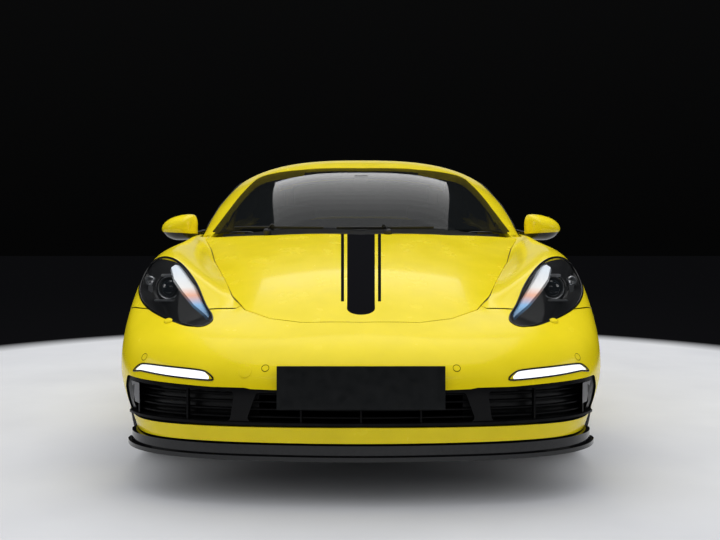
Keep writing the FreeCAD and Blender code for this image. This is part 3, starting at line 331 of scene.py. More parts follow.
# Ribs of the lower body: across, station, heading, then (depth inward, height) pairs,
# or (None, depth) where the rib ends under the lid
RIBS = [
    (0, 8, 90, [(38, 205), (12, 300), (0, 400), (20, 450), (70, 497), (142, 533), 245]),
    (330, 30, 80, [(38, 205), (12, 300), (0, 400), (20, 450), (72, 497), (155, 534), 272]),
    (560, 76, 64, [(43, 204), (13, 300), (0, 405), (22, 462), (78, 510), (198, 552), 358]),
    (740, 175, 47, [(50, 202), (18, 300), (0, 412), (24, 485), (105, 545), (258, 592), 400]),
    (833, 350, 28, [(55, 198), (20, 300), (0, 435), (20, 520), (84, 585), (250, 668), 400]),
    (873, 590, 12, [(60, 188), (22, 310), (0, 470), (14, 595), (60, 690), (190, 758), 376]),
    (893, 925, 0, [(60, 180), (24, 320), (0, 540), (16, 680), (60, 772), (165, 812), 308]),
    (887, 1250, 0, [(58, 180), (24, 320), (0, 580), (18, 715), (60, 800), (135, 838), 219]),
    (872, 1545, 0, [(56, 180), (22, 320), (0, 590), (12, 725), (38, 818), (85, 857), 124]),
    (862, 2000, 0, [(58, 180), (24, 320), (0, 590), (10, 725), (30, 815), (60, 860),
                    (88, 868), (150, 860)]),
    (868, 2500, 0, [(58, 180), (22, 320), (0, 600), (9, 735), (28, 828), (62, 876),
                    (95, 886), (160, 882)]),
    (884, 2850, 0, [(55, 180), (22, 320), (0, 610), (10, 740), (34, 838), (83, 888),
                    (125, 902), (160, 912)]),
    (895, 3125, 0, [(52, 185), (21, 325), (0, 610), (11, 742), (38, 842), (102, 896),
                    (165, 914), (198, 934)]),
    (898, 3400, 0, [(50, 190), (20, 330), (0, 610), (12, 745), (43, 845), (120, 902),
                    (205, 925), (235, 955)]),
    (884, 3720, -7, [(48, 200), (18, 340), (0, 605), (15, 742), (50, 843), (138, 900),
                     (252, 922), (285, 945)]),
    (838, 4000, -25, [(50, 210), (18, 340), (0, 590), (20, 725), (62, 828), (152, 893),
                      (285, 918), (325, 928)]),
    (742, 4210, -47, [(60, 220), (20, 340), (0, 560), (28, 700), (74, 808), (140, 878),
                      (240, 910), (290, 919)]),
    (560, 4330, -66, [(70, 225), (24, 340), (0, 545), (33, 682), (82, 792), (134, 872),
                      (208, 906), (250, 915)]),
    (300, 4380, -80, [(75, 230), (25, 340), (0, 540), (34, 672), (84, 782), (130, 867),
                      (194, 904), (234, 913)]),
    (0, 4393, -90, [(75, 230), (25, 340), (0, 538), (34, 670), (84, 780), (128, 866),
                    (190, 903), (230, 912)]),
]
FLANK_START, FLANK_END = 8, 14
SHUT_OVERLAP = 70
CANOPY = [
    (1262, 860, 765, 1545, 838, 2.6), (1500, 985, 775, 1700, 842, 2.65),
    (1780, 1122, 783, 1890, 848, 2.7), (2030, 1219, 787, 2095, 851, 2.7),
    (2200, 1261, 788, 2230, 854, 2.7), (2400, 1280, 788, 2410, 858, 2.7),
    (2700, 1259, 782, 2700, 866, 2.65), (3050, 1190, 758, 3050, 872, 2.5),
    (3400, 1096, 705, 3400, 872, 2.4), (3750, 1003, 640, 3750, 862, 2.3),
    (4030, 941, 580, 4030, 850, 2.2), (4190, 906, 545, 4190, 836, 2.2),
]


def natural_curve(pairs):
    """A smooth curve through the pairs with no bend at its ends."""
    xs, ys = (np.array(v, float) for v in zip(*pairs))
    n = len(xs)
    h = np.diff(xs)
    system = np.eye(n)
    right = np.zeros(n)
    for i in range(1, n - 1):
        system[i, i - 1:i + 2] = (h[i - 1], 2 * (h[i - 1] + h[i]), h[i])
        right[i] = 6 * ((ys[i + 1] - ys[i]) / h[i] - (ys[i] - ys[i - 1]) / h[i - 1])
    m = np.linalg.solve(system, right)

    def value(x):
        i = min(max(int(np.searchsorted(xs, x)) - 1, 0), n - 2)
        t = x - xs[i]
        slope = (ys[i + 1] - ys[i]) / h[i] - h[i] * (2 * m[i] + m[i + 1]) / 6
        return ys[i] + t * (slope + t * (m[i] / 2 + t * (m[i + 1] - m[i]) / (6 * h[i])))
    return value


lid_height = natural_curve([(200, 550), (500, 664), (800, 755), (1100, 828), (1290, 868),
                            (1600, 935)])
lid_fall = natural_curve([(200, 0.000171), (700, 0.000171), (1200, 0.000145),
                          (1600, 0.000122)])


def lid_z(x, station):
    return lid_height(station) - lid_fall(station) * x * x


def rib_row(rib, side):
    x, station, heading, profile = rib
    turn = math.radians(heading)

    def inward(depth):
        return x - math.cos(turn) * depth, station + math.sin(turn) * depth

    row = []
    for entry in profile:
        if isinstance(entry, tuple):
            px, ps = inward(entry[0])
            row.append(at(side * px, ps, entry[1]))
        else:
            for depth in (entry, entry + SHUT_OVERLAP):
                px, ps = inward(depth)
                row.append(at(side * px, ps, lid_z(px, ps)))
    return row


def canopy_row(centre_s, centre_z, half, belt_s, belt_z, power):
    row = []
    for i in range(-9, 10):
        turn = math.radians(10 * i)
        x = math.copysign(abs(math.sin(turn)) ** (2 / power), turn) * half
        rise = abs(math.cos(turn)) ** (2 / power) if abs(i) < 9 else 0.0
        row.append(at(x, centre_s + (belt_s - centre_s) * (x / half) ** 2,
                      belt_z + (centre_z - belt_z) * rise))
    return row


class Skin:
    """A fine grid over one sheet of the body, asked for its nearest place and normal."""

    def __init__(self, rows, outward):
        grid = sheet(rows)
        along, across = grid.shape[:2]
        self.points = [Vector(p) for p in grid.reshape(-1, 3)]
        tangents = np.cross(np.gradient(grid, axis=0), np.gradient(grid, axis=1))
        tangents /= np.linalg.norm(tangents, axis=2, keepdims=True) + 1e-12
        flat = tangents.reshape(-1, 3) * outward
        self.normals = [Vector(n) for n in flat]
        self.faces = [(r * across + c, r * across + c + 1, (r + 1) * across + c + 1,
                       (r + 1) * across + c)
                      for r in range(along - 1) for c in range(across - 1)]
        self.tree = BVHTree.FromPolygons(self.points, self.faces)

    def normal_at(self, place, index):
        corners = self.faces[index]
        shares = poly_3d_calc([self.points[i] for i in corners], place)
        total = Vector()
        for share, i in zip(shares, corners):
            total += self.normals[i] * share
        return total.normalized()

    def nearest(self, point):
        place, _, index, distance = self.tree.find_nearest(point)
        return place, self.normal_at(place, index), distance

    def hit(self, origin, direction):
        place, _, index, _ = self.tree.ray_cast(origin, direction)
        return place, self.normal_at(place, index)


front_rows = [rib_row(rib, -1) for rib in reversed(RIBS[1:FLANK_END])]
front_rows += [rib_row(rib, 1) for rib in RIBS[:FLANK_END]]
rear_rows = [rib_row(rib, 1) for rib in RIBS[FLANK_START:]]
rear_rows += [rib_row(rib, -1) for rib in reversed(RIBS[FLANK_START:-1])]
lid_rows = [[at(x, s, lid_z(x, s)) for x in range(-780, 781, 130)]
            for s in range(200, 1600, 130)]
skins = {
    "front": Skin(front_rows, 1),
    "rear": Skin(rear_rows, 1),
    "canopy": Skin([canopy_row(*row) for row in CANOPY], -1),
    "lid": Skin(lid_rows, -1),
}
UP = Vector((0, 0, 1))
DOWN = Vector((0, 0, -1))
AHEAD = Vector((0, 1, 0))
SMOOTH_ANGLE = math.radians(32)
# A panel's corner takes the sheet's normal when the sheet is within REACH and the face
# agrees with it to FOLLOWS; a face turned past LINING_TURN is the panel's inner side
FOLLOWS = 0.93
REACH = 0.095
LINING_TURN = -0.3
MERGE_DISTANCE = 2e-5
BEAD_RESOLUTION = 3


# Making pieces

def new_piece(name, mesh, body, slot, *materials):
    piece = bpy.data.objects.new(name, mesh)
    bpy.context.scene.collection.objects.link(piece)
    for material in materials:
        mesh.materials.append(material)
    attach(piece, body)
    return piece


body_of_node = {node: body for body, nodes in frame["record"]["behaviour"]["bodies"].items()
                for node in nodes}


def merged_copy(node):
    """A copy of a CAD node's mesh with its loose triangles joined."""
    mesh = frame["nodes"][node].data.copy()
    mesh.materials.clear()
    work = bmesh.new()
    work.from_mesh(mesh)
    bmesh.ops.remove_doubles(work, verts=work.verts, dist=MERGE_DISTANCE)
    work.to_mesh(mesh)
    work.free()
    return mesh


def sleek(node, sheets, slot, *materials):
    """A copy of a CAD panel whose highlights follow the body's smooth sheets.
    A second material lines the faces that look inwards."""
    mesh = merged_copy(node)
    mesh.shade_smooth()
    mesh.set_sharp_from_angle(angle=SMOOTH_ANGLE)
    near = []
    for vertex in mesh.vertices:
        found = []
        for name in sheets:
            _, normal, distance = skins[name].nearest(vertex.co)
            if distance < REACH:
                found.append(normal)
        near.append(found)
    normals = [corner.vector.copy() for corner in mesh.corner_normals]
    for face in mesh.polygons:
        for corner in face.loop_indices:
            best = FOLLOWS
            for normal in near[mesh.loops[corner].vertex_index]:
                agreement = normal.dot(face.normal)
                if abs(agreement) > best:
                    best = abs(agreement)
                    normals[corner] = normal * math.copysign(1, agreement)
    mesh.normals_split_custom_set([tuple(n) for n in normals])
    if len(materials) > 1:
        for face in mesh.polygons:
            outward = [n.dot(face.normal) for v in face.vertices for n in near[v]]
            if max(outward, default=-1) < LINING_TURN:
                face.material_index = 1
    piece = new_piece("smooth_" + node, mesh, body_of_node[node], slot, *materials)
    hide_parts(node)
    return piece


def dress(node, material):
    """Gives a CAD node that keeps its shape a better material."""
    kept = frame["nodes"][node]
    kept.data.materials.clear()
    kept.data.materials.append(material)


def smooth_mesh(work, name):
    """The finished mesh of a bmesh, smooth up to the sharp angle."""
    mesh = bpy.data.meshes.new(name)
    work.to_mesh(mesh)
    work.free()
    mesh.shade_smooth()
    mesh.set_sharp_from_angle(angle=SMOOTH_ANGLE)
    return mesh


def close_mesh(work, name):
    bmesh.ops.recalc_face_normals(work, faces=work.faces)
    return smooth_mesh(work, name)


def tube(name, points, radius, body, slot, material, closed=False):
    """A round bead along points."""
    curve = bpy.data.curves.new(name, "CURVE")
    curve.dimensions = "3D"
    curve.bevel_depth = radius
    curve.bevel_resolution = BEAD_RESOLUTION
    spline = curve.splines.new("POLY")
    spline.points.add(len(points) - 1)
    for point, place in zip(spline.points, points):
        point.co = (*place, 1)
    spline.use_cyclic_u = closed
    curve.use_fill_caps = not closed
    holder = bpy.data.objects.new(name, curve)
    bpy.context.scene.collection.objects.link(holder)
    mesh = bpy.data.meshes.new_from_object(
        holder.evaluated_get(bpy.context.evaluated_depsgraph_get()))
    bpy.data.objects.remove(holder)
    mesh.shade_smooth()
    return new_piece(name, mesh, body, slot, material)


def turned(name, profile, origin, axis, body, slot, *materials, steps=48, bands=None):
    """A turned shape: the profile's (radius, distance) pairs spun about an axis."""
    axis = Vector(axis).normalized()
    side = axis.orthogonal().normalized()
    other = axis.cross(side)
    work = bmesh.new()
    rings = []
    for radius, distance in profile:
        ring = []
        for k in range(steps if radius > 1e-6 else 1):
            turn = 2 * math.pi * k / steps
            spoke = side * math.cos(turn) + other * math.sin(turn)
            ring.append(work.verts.new(origin + axis * distance + spoke * radius))
        rings.append(ring)
    for i in range(len(rings) - 1):
        a, b = rings[i], rings[i + 1]
        for k in range(steps):
            j = (k + 1) % steps
            corners = [a[k % len(a)], a[j % len(a)], b[j % len(b)], b[k % len(b)]]
            unique = list(dict.fromkeys(corners))
            if len(unique) > 2:
                face = work.faces.new(unique)
                face.material_index = bands[i] if bands else 0
    bmesh.ops.remove_doubles(work, verts=work.verts, dist=1e-6)
    return new_piece(name, close_mesh(work, name), body, slot, *materials)


def rounded_outline(points, samples=10, tension=0.5):
    """A closed smooth outline through (a, b) points."""
    count = len(points)
    outline = []
    for i in range(count):
        p = [Vector(points[(i + k) % count]) for k in (-1, 0, 1, 2)]
        for k in range(samples):
            t = k / samples
            slope_a = (p[2] - p[0]) * tension
            slope_b = (p[3] - p[1]) * tension
            outline.append((2 * t ** 3 - 3 * t ** 2 + 1) * p[1]
                           + (t ** 3 - 2 * t ** 2 + t) * slope_a
                           + (3 * t ** 2 - 2 * t ** 3) * p[2] + (t ** 3 - t ** 2) * slope_b)
    return outline


def mirrored(points):
    return [Vector((-p[0], p[1], p[2])) for p in points]


def plate(name, outline, thickness, body, slot, *materials, bevel=0.0):
    """A solid between an outline of 3-D points and the same outline moved by thickness."""
    work = bmesh.new()
    near = [work.verts.new(p) for p in outline]
    far = [work.verts.new(p + thickness) for p in outline]
    work.faces.new(near)
    work.faces.new(list(reversed(far)))
    for i in range(len(near)):
        j = (i + 1) % len(near)
        work.faces.new((near[i], far[i], far[j], near[j]))
    bmesh.ops.recalc_face_normals(work, faces=work.faces)
    if bevel:
        rims = [e for e in work.edges if len(e.link_faces) == 2
                and e.calc_face_angle(0) > math.radians(50)]
        bmesh.ops.bevel(work, geom=rims, offset=bevel, segments=2, affect="EDGES")
    return new_piece(name, smooth_mesh(work, name), body, slot, *materials)


# The photograph's viewpoint

IMAGE_WIDTH, IMAGE_HEIGHT = 720, 540
FOCAL_PIXELS = 933.0
CENTRE_COLUMN, HORIZON_ROW = 361.0, 232.8
EYE_AHEAD, EYE_HEIGHT = 2900, 872
EYE = at(0, -EYE_AHEAD, EYE_HEIGHT)
SENSOR_WIDTH = 36.0

camera_data = bpy.data.cameras.new("camera")
camera_data.sensor_width = SENSOR_WIDTH
camera_data.lens = SENSOR_WIDTH * FOCAL_PIXELS / IMAGE_WIDTH
camera_data.shift_x = (IMAGE_WIDTH / 2 - CENTRE_COLUMN) / IMAGE_WIDTH
camera_data.shift_y = -(IMAGE_HEIGHT / 2 - HORIZON_ROW) / IMAGE_WIDTH
camera_data.clip_end = 100.0
camera = bpy.data.objects.new("camera", camera_data)
camera.location = EYE
camera.rotation_euler = (math.radians(90), 0, 0)
bpy.context.scene.collection.objects.link(camera)
bpy.context.scene.camera = camera
bpy.context.scene.view_settings.view_transform = "Standard"


# Body panels

for node in ("front_bumper", "front_wing_left", "front_wing_right"):
    sleek(node, ["front"], "paint", paint, underseal)
sleek("front_lid", ["lid"], "paint", lid_paint, underseal)
for side in ("left", "right"):
    sleek("door_" + side, ["front"], "paint", paint, soft_trim)
    sleek("body_side_" + side, ["canopy", "rear"], "paint", paint, soft_trim)
sleek("rear_bumper", ["rear", "canopy"], "paint", paint, underseal)
sleek("roof_panel", ["canopy"], "paint", paint, headlining)
sleek("rear_hatch", ["canopy"], "paint", paint, soft_trim)
sleek("rear_spoiler", ["rear"], "paint", paint)
sleek("windscreen", ["canopy"], "clear_glass", screen_glass)
for node in ("door_glass_left", "door_glass_right", "quarter_windows", "hatch_glass"):
    sleek(node, ["canopy"], "clear_glass", dark_glass)
sleek("headlamp_lenses", ["front"], "lamp_cover", lamp_glass)
sleek("cowl_panel", ["lid"], "gloss_black", black_plastic)


# Trim on the nose

def seen_at(column, row, station):
    """The place that the photograph shows at a pixel, on the plane at a station."""
    reach = (EYE_AHEAD + station) / FOCAL_PIXELS
    return at((column - CENTRE_COLUMN) * reach, station,
              EYE_HEIGHT - (row - HORIZON_ROW) * reach)


def on_nose(x, z, sheet_name="front"):
    """The place on the nose's sheet behind a point seen from straight ahead."""
    return skins[sheet_name].hit(at(x, -400, z), AHEAD)


def behind_pixel(column, row, sheet_name="front"):
    """The place on the nose's sheet that the photograph shows at a pixel."""
    return skins[sheet_name].hit(EYE, (seen_at(column, row, 500) - EYE).normalized())


def over_nose(x, station, sheet_name="front"):
    """The place on a sheet under a point seen from above."""
    return skins[sheet_name].hit(at(x, station, 1500), DOWN)


LAMP_OUTLINE = [(824, 568), (838, 700), (821, 745), (776, 716), (689, 637), (610, 520),
                (560, 430), (523, 363), (517, 300), (556, 262), (662, 313), (768, 436)]
RUNNING_OUTLINE = [(754, 415), (717, 443), (609, 441), (500, 433), (472, 406), (613, 412),
                   (719, 420)]
lamp_black = grained_finish("lamp_black", (0.004, 0.004, 0.0045), 0.35, 1200.0, 0.1)
lamp_chrome = metal_finish("lamp_chrome", (0.80, 0.82, 0.85), 0.30, 0.02)


def ramped(wire, stops):
    return wire.node("ShaderNodeValToRGB", {"stops": stops}, {0: wire})


# The reflector's colours are a painted reflection laid on by height: dark blue low down, then
# orange, white and pale blue higher up
reflector, reflector_place = finish("reflector_painted_reflection", (0.9, 0.92, 0.95), 0.16,
                                    metallic=0.3, coat_weight=0.5)
painted_reflection_height = reflector_place.parts()[2].spread(0.575, 0.735)
feed(reflector, "Base Color", ramped(painted_reflection_height, [
    (0.0, (0.03, 0.10, 0.20, 1)), (0.25, (0.22, 0.50, 0.85, 1)),
    (0.45, (0.95, 0.45, 0.28, 1)), (0.62, (0.95, 0.93, 0.90, 1)),
    (1.0, (0.80, 0.88, 0.96, 1))]))
feed(reflector, "Roughness", reflector_place.noise(40.0, 2.0).spread(0.3, 0.7, 0.12, 0.22))

light_guide, guide_place = finish("light_guide", (0.92, 0.95, 1.0), 0.3, coat_weight=0.5,
                                  emission_strength=0.9)
guide_cells = guide_place.parts()[0] * 420.0
ribbed = guide_cells.maths("PINGPONG", guide_cells, 1.0).spread(0.0, 1.0)
feed(light_guide, "Emission Color",
     ribbed.mix((0.80, 0.90, 1.0, 1.0), (1.0, 1.0, 1.0, 1.0)))
feed(light_guide, "Normal", ribbed.bump(0.3, 0.0006))

lens_clear = glass_finish("projector_lens", (0.006, 0.010, 0.014), 0.9, 0.03)


def sunk_patch(name, outline, sink, body, slot, material, rise=0.0):
    """A dished patch straight below an outline on the nose."""
    rim = []
    for x, s in outline:
        place, _ = over_nose(abs(x), s)
        place = place - UP * sink
        rim.append(Vector((math.copysign(place.x, x), place.y, place.z)))
    work = bmesh.new()
    centre = sum(rim, Vector()) / len(rim) + Vector((0, 0, -rise))
    rings = []
    for share in (1.0, 0.82, 0.55, 0.25):
        drop = (1 - share ** 2) * rise
        rings.append([work.verts.new(centre.lerp(p, share) - Vector((0, 0, drop)))
                      for p in rim])
    last = work.verts.new(centre - Vector((0, 0, rise)))
    for a, b in zip(rings, rings[1:]):
        for i in range(len(a)):
            j = (i + 1) % len(a)
            work.faces.new((a[i], a[j], b[j], b[i]))
    for i in range(len(rings[-1])):
        j = (i + 1) % len(rim)
        work.faces.new((rings[-1][i], rings[-1][j], last))
    bmesh.ops.recalc_face_normals(work, faces=work.faces)
    if sum(f.normal.z for f in work.faces) < 0:
        bmesh.ops.reverse_faces(work, faces=work.faces)
    mesh = bpy.data.meshes.new(name)
    work.to_mesh(mesh)
    work.free()
    mesh.shade_smooth()
    return new_piece(name, mesh, body, slot, material)


def shrunk(outline, share):
    """An outline drawn towards its middle."""
    middle = [sum(v) / len(outline) for v in zip(*outline)]
    return [tuple(m + (p - m) * share for p, m in zip(point, middle)) for point in outline]


# The bright reflector's outline in the photograph's left lamp, by column and row
LEAF_OUTLINE = [(171.0, 265.2), (175.5, 262.6), (181.6, 263.6), (191.4, 273.2), (198.6, 285.7),
                (204.8, 300.0), (209.8, 312.5), (208.6, 315.5), (204.4, 311.2), (194.1, 302.7),
                (182.5, 289.3), (173.6, 276.8)]


def make_headlamp(side):
    """One headlamp's inside: a black tray, a projector in a bright ring, and reflectors."""
    label = side_name(side)
    outline = [(side * x, s) for x, s in rounded_outline(LAMP_OUTLINE, 8)]
    tray = sunk_patch("lamp_tray_" + label, shrunk(outline, 0.998), 0.0060, "root",
                      "lamp_inner", lamp_black, 0.055)
    rim = []
    for x, s in outline:
        place, normal = over_nose(abs(x), s)
        place = place - normal * 0.0012
        rim.append(Vector((math.copysign(place.x, x), place.y, place.z)))
    tube("lamp_rim_" + label, rim, 0.0046, "root", "gloss_black", black_gloss, True)

    eye = at(side * 716, 585, 667)
    toward = Vector((side * 0.10, -1, 0.10)).normalized()
    turned("projector_shroud_" + label,
           [(0.052, -0.060), (0.056, -0.030), (0.052, 0.004), (0.047, 0.006),
            (0.044, -0.002), (0.040, -0.020)],
           eye, toward, "root", "lamp_inner", lamp_black)
    turned("projector_ring_" + label,
           [(0.0435, -0.006), (0.0445, 0.002), (0.0425, 0.006), (0.0395, 0.004),
            (0.0365, -0.004), (0.036, -0.016)],
           eye, toward, "root", "lamp_inner", lamp_chrome)
    turned("projector_glass_" + label,
           [(0.035, -0.012), (0.034, -0.004), (0.028, 0.004), (0.018, 0.010),
            (0.008, 0.0125), (0.0, 0.013)],
           eye, toward, "root", "lamp_cover", lens_clear)
    small = at(side * 803, 650, 690)
    turned("corner_lamp_" + label,
           [(0.017, -0.020), (0.018, 0.000), (0.015, 0.003), (0.012, -0.004),
            (0.006, -0.007), (0.0, -0.008)],
           small, toward, "root", "lamp_inner", lamp_chrome)
    for k, (x, s, z, wide, tall) in enumerate([
            (800, 640, 655, 0.016, 0.040), (722, 560, 714, 0.040, 0.010),
            (728, 545, 622, 0.074, 0.007), (782, 600, 590, 0.012, 0.010)]):
        middle = at(side * x, s, z)
        block = [middle + Vector((a * wide / 2, 0, b * tall / 2))
                 for a, b in ((-1, -0.7), (-0.8, -1), (0.8, -1), (1, -0.7), (1, 0.7),
                              (0.8, 1), (-0.8, 1), (-1, 0.7))]
        plate("lamp_facet_%s_%d" % (label, k), block, Vector((0, 0.012, 0)), "root",
              "lamp_inner", lamp_chrome, bevel=0.0015)
    # The blade behind the lamp's bright patch carries the reflector's painted reflection
    places = []
    for column, row in LEAF_OUTLINE:
        skin, normal = behind_pixel(column, row)
        low = skin - normal * 0.009
        places.append(Vector((-side * low.x, low.y, low.z)))
    plate("lamp_blade_" + label, places, Vector((side * 0.004, 0.004, -0.010)), "root",
          "lamp_inner", reflector)
    return tray


left_tray = make_headlamp(1)
make_headlamp(-1)
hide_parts("headlamps")


def make_running_rim(side):
    """The thin black surround of one running lamp."""
    rim = []
    for x, z in rounded_outline(RUNNING_OUTLINE, 6, 0.35):
        place, _ = on_nose(abs(x), z)
        rim.append(Vector((side * place.x, place.y - 0.0004, place.z)))
    tube("running_rim_" + side_name(side), rim, 0.0030, "root", "gloss_black", black_gloss,
         True)


make_running_rim(1)
make_running_rim(-1)
sleek("running_lamps", ["front"], "white_lamp", light_guide)


SENSOR_PROFILE = [(0.0125, -0.003), (0.0125, 0.0004), (0.0112, 0.0004), (0.0108, -0.0006),
                  (0.0098, 0.0008), (0.0, 0.0012)]
SENSOR_BANDS = [0, 1, 1, 0, 0]


def make_sensors():
    """Round parking sensors and the towing eye's cap, flush in the bumper."""
    for k, (x, z) in enumerate([(302, 445), (-302, 445), (712, 464), (-712, 464)]):
        place, normal = on_nose(x, z)
        turned("parking_sensor_%d" % k, SENSOR_PROFILE, place, normal, "root", "paint",
               paint, black_gloss, bands=SENSOR_BANDS)
    place, normal = on_nose(-366, 435)
    turned("towing_cap", [(0.0208, -0.003), (0.0208, 0.0004), (0.0196, 0.0010),
                          (0.0, 0.0012)], place, normal, "root", "paint", paint)
    for side in (-1, 1):
        place, normal = over_nose(662, 303)
        place.x *= side
        normal.x *= side
        turned("washer_cap_" + side_name(side),
               [(0.016, -0.004), (0.0155, 0.002), (0.011, 0.006), (0.0, 0.0075)],
               place, normal, "root", "paint", paint)


make_sensors()
intake_black, intake_place = finish("intake_black", (0.003, 0.003, 0.0035), 0.4,
                                    specular_ior_level=0.12)
intake_dust = intake_place.noise(35.0, 3.0).spread(0.3, 0.75)
feed(intake_black, "Base Color",
     intake_dust.mix((0.0025, 0.0025, 0.003, 1.0), (0.006, 0.006, 0.0065, 1.0)))
feed(intake_black, "Roughness", intake_dust.spread(0.0, 1.0, 0.3, 0.5))
dress("front_grille", intake_black)
blade_grey = grained_finish("blade_grey", (0.10, 0.10, 0.105), 0.45, 1000.0, 0.1)

# The grey blade at the intake's outer end, as the photograph's left side shows it
BLADE_OUTLINE = [(130.0, 380.6), (137.8, 383.2), (138.2, 403.8), (133.8, 401.8)]
RADIATOR_INNER, RADIATOR_OUTER = 330, 780
RADIATOR_SETBACK, RADIATOR_THICKNESS = 0.085, 0.016
RADIATOR_FLOOR, RADIATOR_HEIGHT = 0.246, 0.150


def make_intake(side):
    """The blade at a side intake's outer end and the radiator core behind its slats."""
    label = side_name(side)
    face = []
    for column, row in BLADE_OUTLINE:
        place, normal = behind_pixel(column, row)
        low = place - normal * 0.005
        face.append(Vector((-side * low.x, low.y, low.z)))
    plate("intake_blade_" + label, face, Vector((0, 0.003, 0)), "root", "black_plastic",
          blade_grey)
    front_edge = []
    for x in np.linspace(RADIATOR_INNER, RADIATOR_OUTER, 12):
        place, _ = on_nose(float(x), 320)
        front_edge.append(Vector((side * place.x, place.y + RADIATOR_SETBACK,
                                  RADIATOR_FLOOR)))
    back_edge = [p + Vector((0, RADIATOR_THICKNESS, 0)) for p in reversed(front_edge)]
    plate("radiator_" + label, front_edge + back_edge, Vector((0, 0, RADIATOR_HEIGHT)),
          "root", "black_plastic", lamp_black)


make_intake(1)
make_intake(-1)

# A dark rubber strip lies in the gap round the front lid, by across and station: it stands for
# the lid's seal, and it darkens the gap as painted shade
LID_EDGE = [(0, 250), (200, 262), (313, 310), (410, 400), (477, 550), (551, 800),
            (610, 1000), (665, 1250), (728, 1488), (700, 1496), (400, 1358), (0, 1272)]
STRIP_STEP, STRIP_DEPTH, STRIP_RADIUS = 30, 0.0075, 0.0036
strip = []
for (x0, s0), (x1, s1) in zip(LID_EDGE, LID_EDGE[1:]):
    steps = max(2, round(math.hypot(x1 - x0, s1 - s0) / STRIP_STEP))
    for k in range(steps):
        share = k / steps
        place, normal = over_nose(x0 + (x1 - x0) * share, s0 + (s1 - s0) * share, "lid")
        strip.append(place - normal * STRIP_DEPTH)
strip += mirrored([strip[0]] + strip[:0:-1])[1:]
tube("lid_seal_gap_shade", strip, STRIP_RADIUS, "root", "black_plastic", rubber, True)
dress("front_lip", black_gloss)

plate_face, plate_place = finish("blank_plate", (0.005, 0.006, 0.0065), 0.4,
                                 specular_ior_level=0.25)
plate_dust = plate_place.noise(30.0, 3.0).spread(0.3, 0.7)
feed(plate_face, "Base Color",
     plate_dust.mix((0.004, 0.005, 0.0055, 1.0), (0.007, 0.008, 0.0085, 1.0)))
feed(plate_face, "Roughness", plate_dust.spread(0.0, 1.0, 0.35, 0.5))
dress("number_plate", plate_face)


# Repeats, made with Geometry Nodes

def new_tree(name, inputs):
    """An empty tree with the named inputs, its group ends and the inputs' identifiers."""
    tree = bpy.data.node_groups.new(name, "GeometryNodeTree")
    tree.interface.new_socket("Unit", in_out="INPUT", socket_type="NodeSocketGeometry")
    for label, kind in inputs:
        tree.interface.new_socket(label, in_out="INPUT", socket_type="NodeSocket" + kind)
    tree.interface.new_socket("Result", in_out="OUTPUT", socket_type="NodeSocketGeometry")
    start = tree.nodes.new("NodeGroupInput")
    end = tree.nodes.new("NodeGroupOutput")
    names = {item.name: item.identifier for item in tree.interface.items_tree
             if item.in_out == "INPUT"}
    return tree, start, end, names


def close_tree(tree, start, end, instances):
    realize = tree.nodes.new("GeometryNodeRealizeInstances")
    colour = tree.nodes.new("GeometryNodeSetMaterial")
    tree.links.new(instances, realize.inputs[0])
    tree.links.new(realize.outputs[0], colour.inputs["Geometry"])
    tree.links.new(start.outputs["Material"], colour.inputs["Material"])
    tree.links.new(colour.outputs[0], end.inputs[0])


def ring_tree():
    """Repeats the unit round the X axis: its X points outwards and its Z along the axle."""
    tree, start, end, names = new_tree("ring_of_units", [
        ("Count", "Int"), ("Radius", "Float"), ("Centre", "Vector"), ("Material", "Material")])
    wires = Wire(tree)
    circle = wires.node("GeometryNodeMeshCircle", {}, {
        "Vertices": Wire(tree, start.outputs["Count"]),
        "Radius": Wire(tree, start.outputs["Radius"])})
    index = wires.node("GeometryNodeInputIndex")
    count = Wire(tree, start.outputs["Count"])
    turn = index / count * (2 * math.pi)
    rotation = wires.node("ShaderNodeCombineXYZ", {}, {"Z": turn})
    spread_out = wires.node("GeometryNodeInstanceOnPoints", {}, {
        "Points": circle, "Instance": Wire(tree, start.outputs["Unit"]),
        "Rotation": rotation})
    laid = wires.node("GeometryNodeTransform", {}, {
        "Geometry": spread_out, "Rotation": (0.0, math.pi / 2, 0.0)})
    placed = wires.node("GeometryNodeTransform", {}, {
        "Geometry": laid, "Translation": Wire(tree, start.outputs["Centre"])})
    close_tree(tree, start, end, placed.socket)
    return tree, names


def row_tree():
    """Repeats the unit in a straight row."""
    tree, start, end, names = new_tree("row_of_units", [
        ("Count", "Int"), ("Start", "Vector"), ("Step", "Vector"), ("Material", "Material")])
    wires = Wire(tree)
    line = wires.node("GeometryNodeMeshLine", {"mode": "OFFSET"}, {
        "Count": Wire(tree, start.outputs["Count"]),
        "Start Location": Wire(tree, start.outputs["Start"]),
        "Offset": Wire(tree, start.outputs["Step"])})
    laid = wires.node("GeometryNodeInstanceOnPoints", {}, {
        "Points": line, "Instance": Wire(tree, start.outputs["Unit"])})
    close_tree(tree, start, end, laid.socket)
    return tree, names


RING = ring_tree()
ROW = row_tree()


def repeated(name, unit, tree_and_names, body, slot, material, **inputs):
    """The plain mesh that a tree makes from a unit mesh."""
    tree, names = tree_and_names
    holder = bpy.data.objects.new(name, unit)
    bpy.context.scene.collection.objects.link(holder)
    modifier = holder.modifiers.new("repeat", "NODES")
    modifier.node_group = tree
    for label, value in inputs.items():
        modifier[names[label.title()]] = value
    modifier[names["Material"]] = material
    mesh = bpy.data.meshes.new_from_object(
        holder.evaluated_get(bpy.context.evaluated_depsgraph_get()))
    bpy.data.objects.remove(holder)
    mesh.set_sharp_from_angle(angle=SMOOTH_ANGLE)
    return new_piece(name, mesh, body, slot)


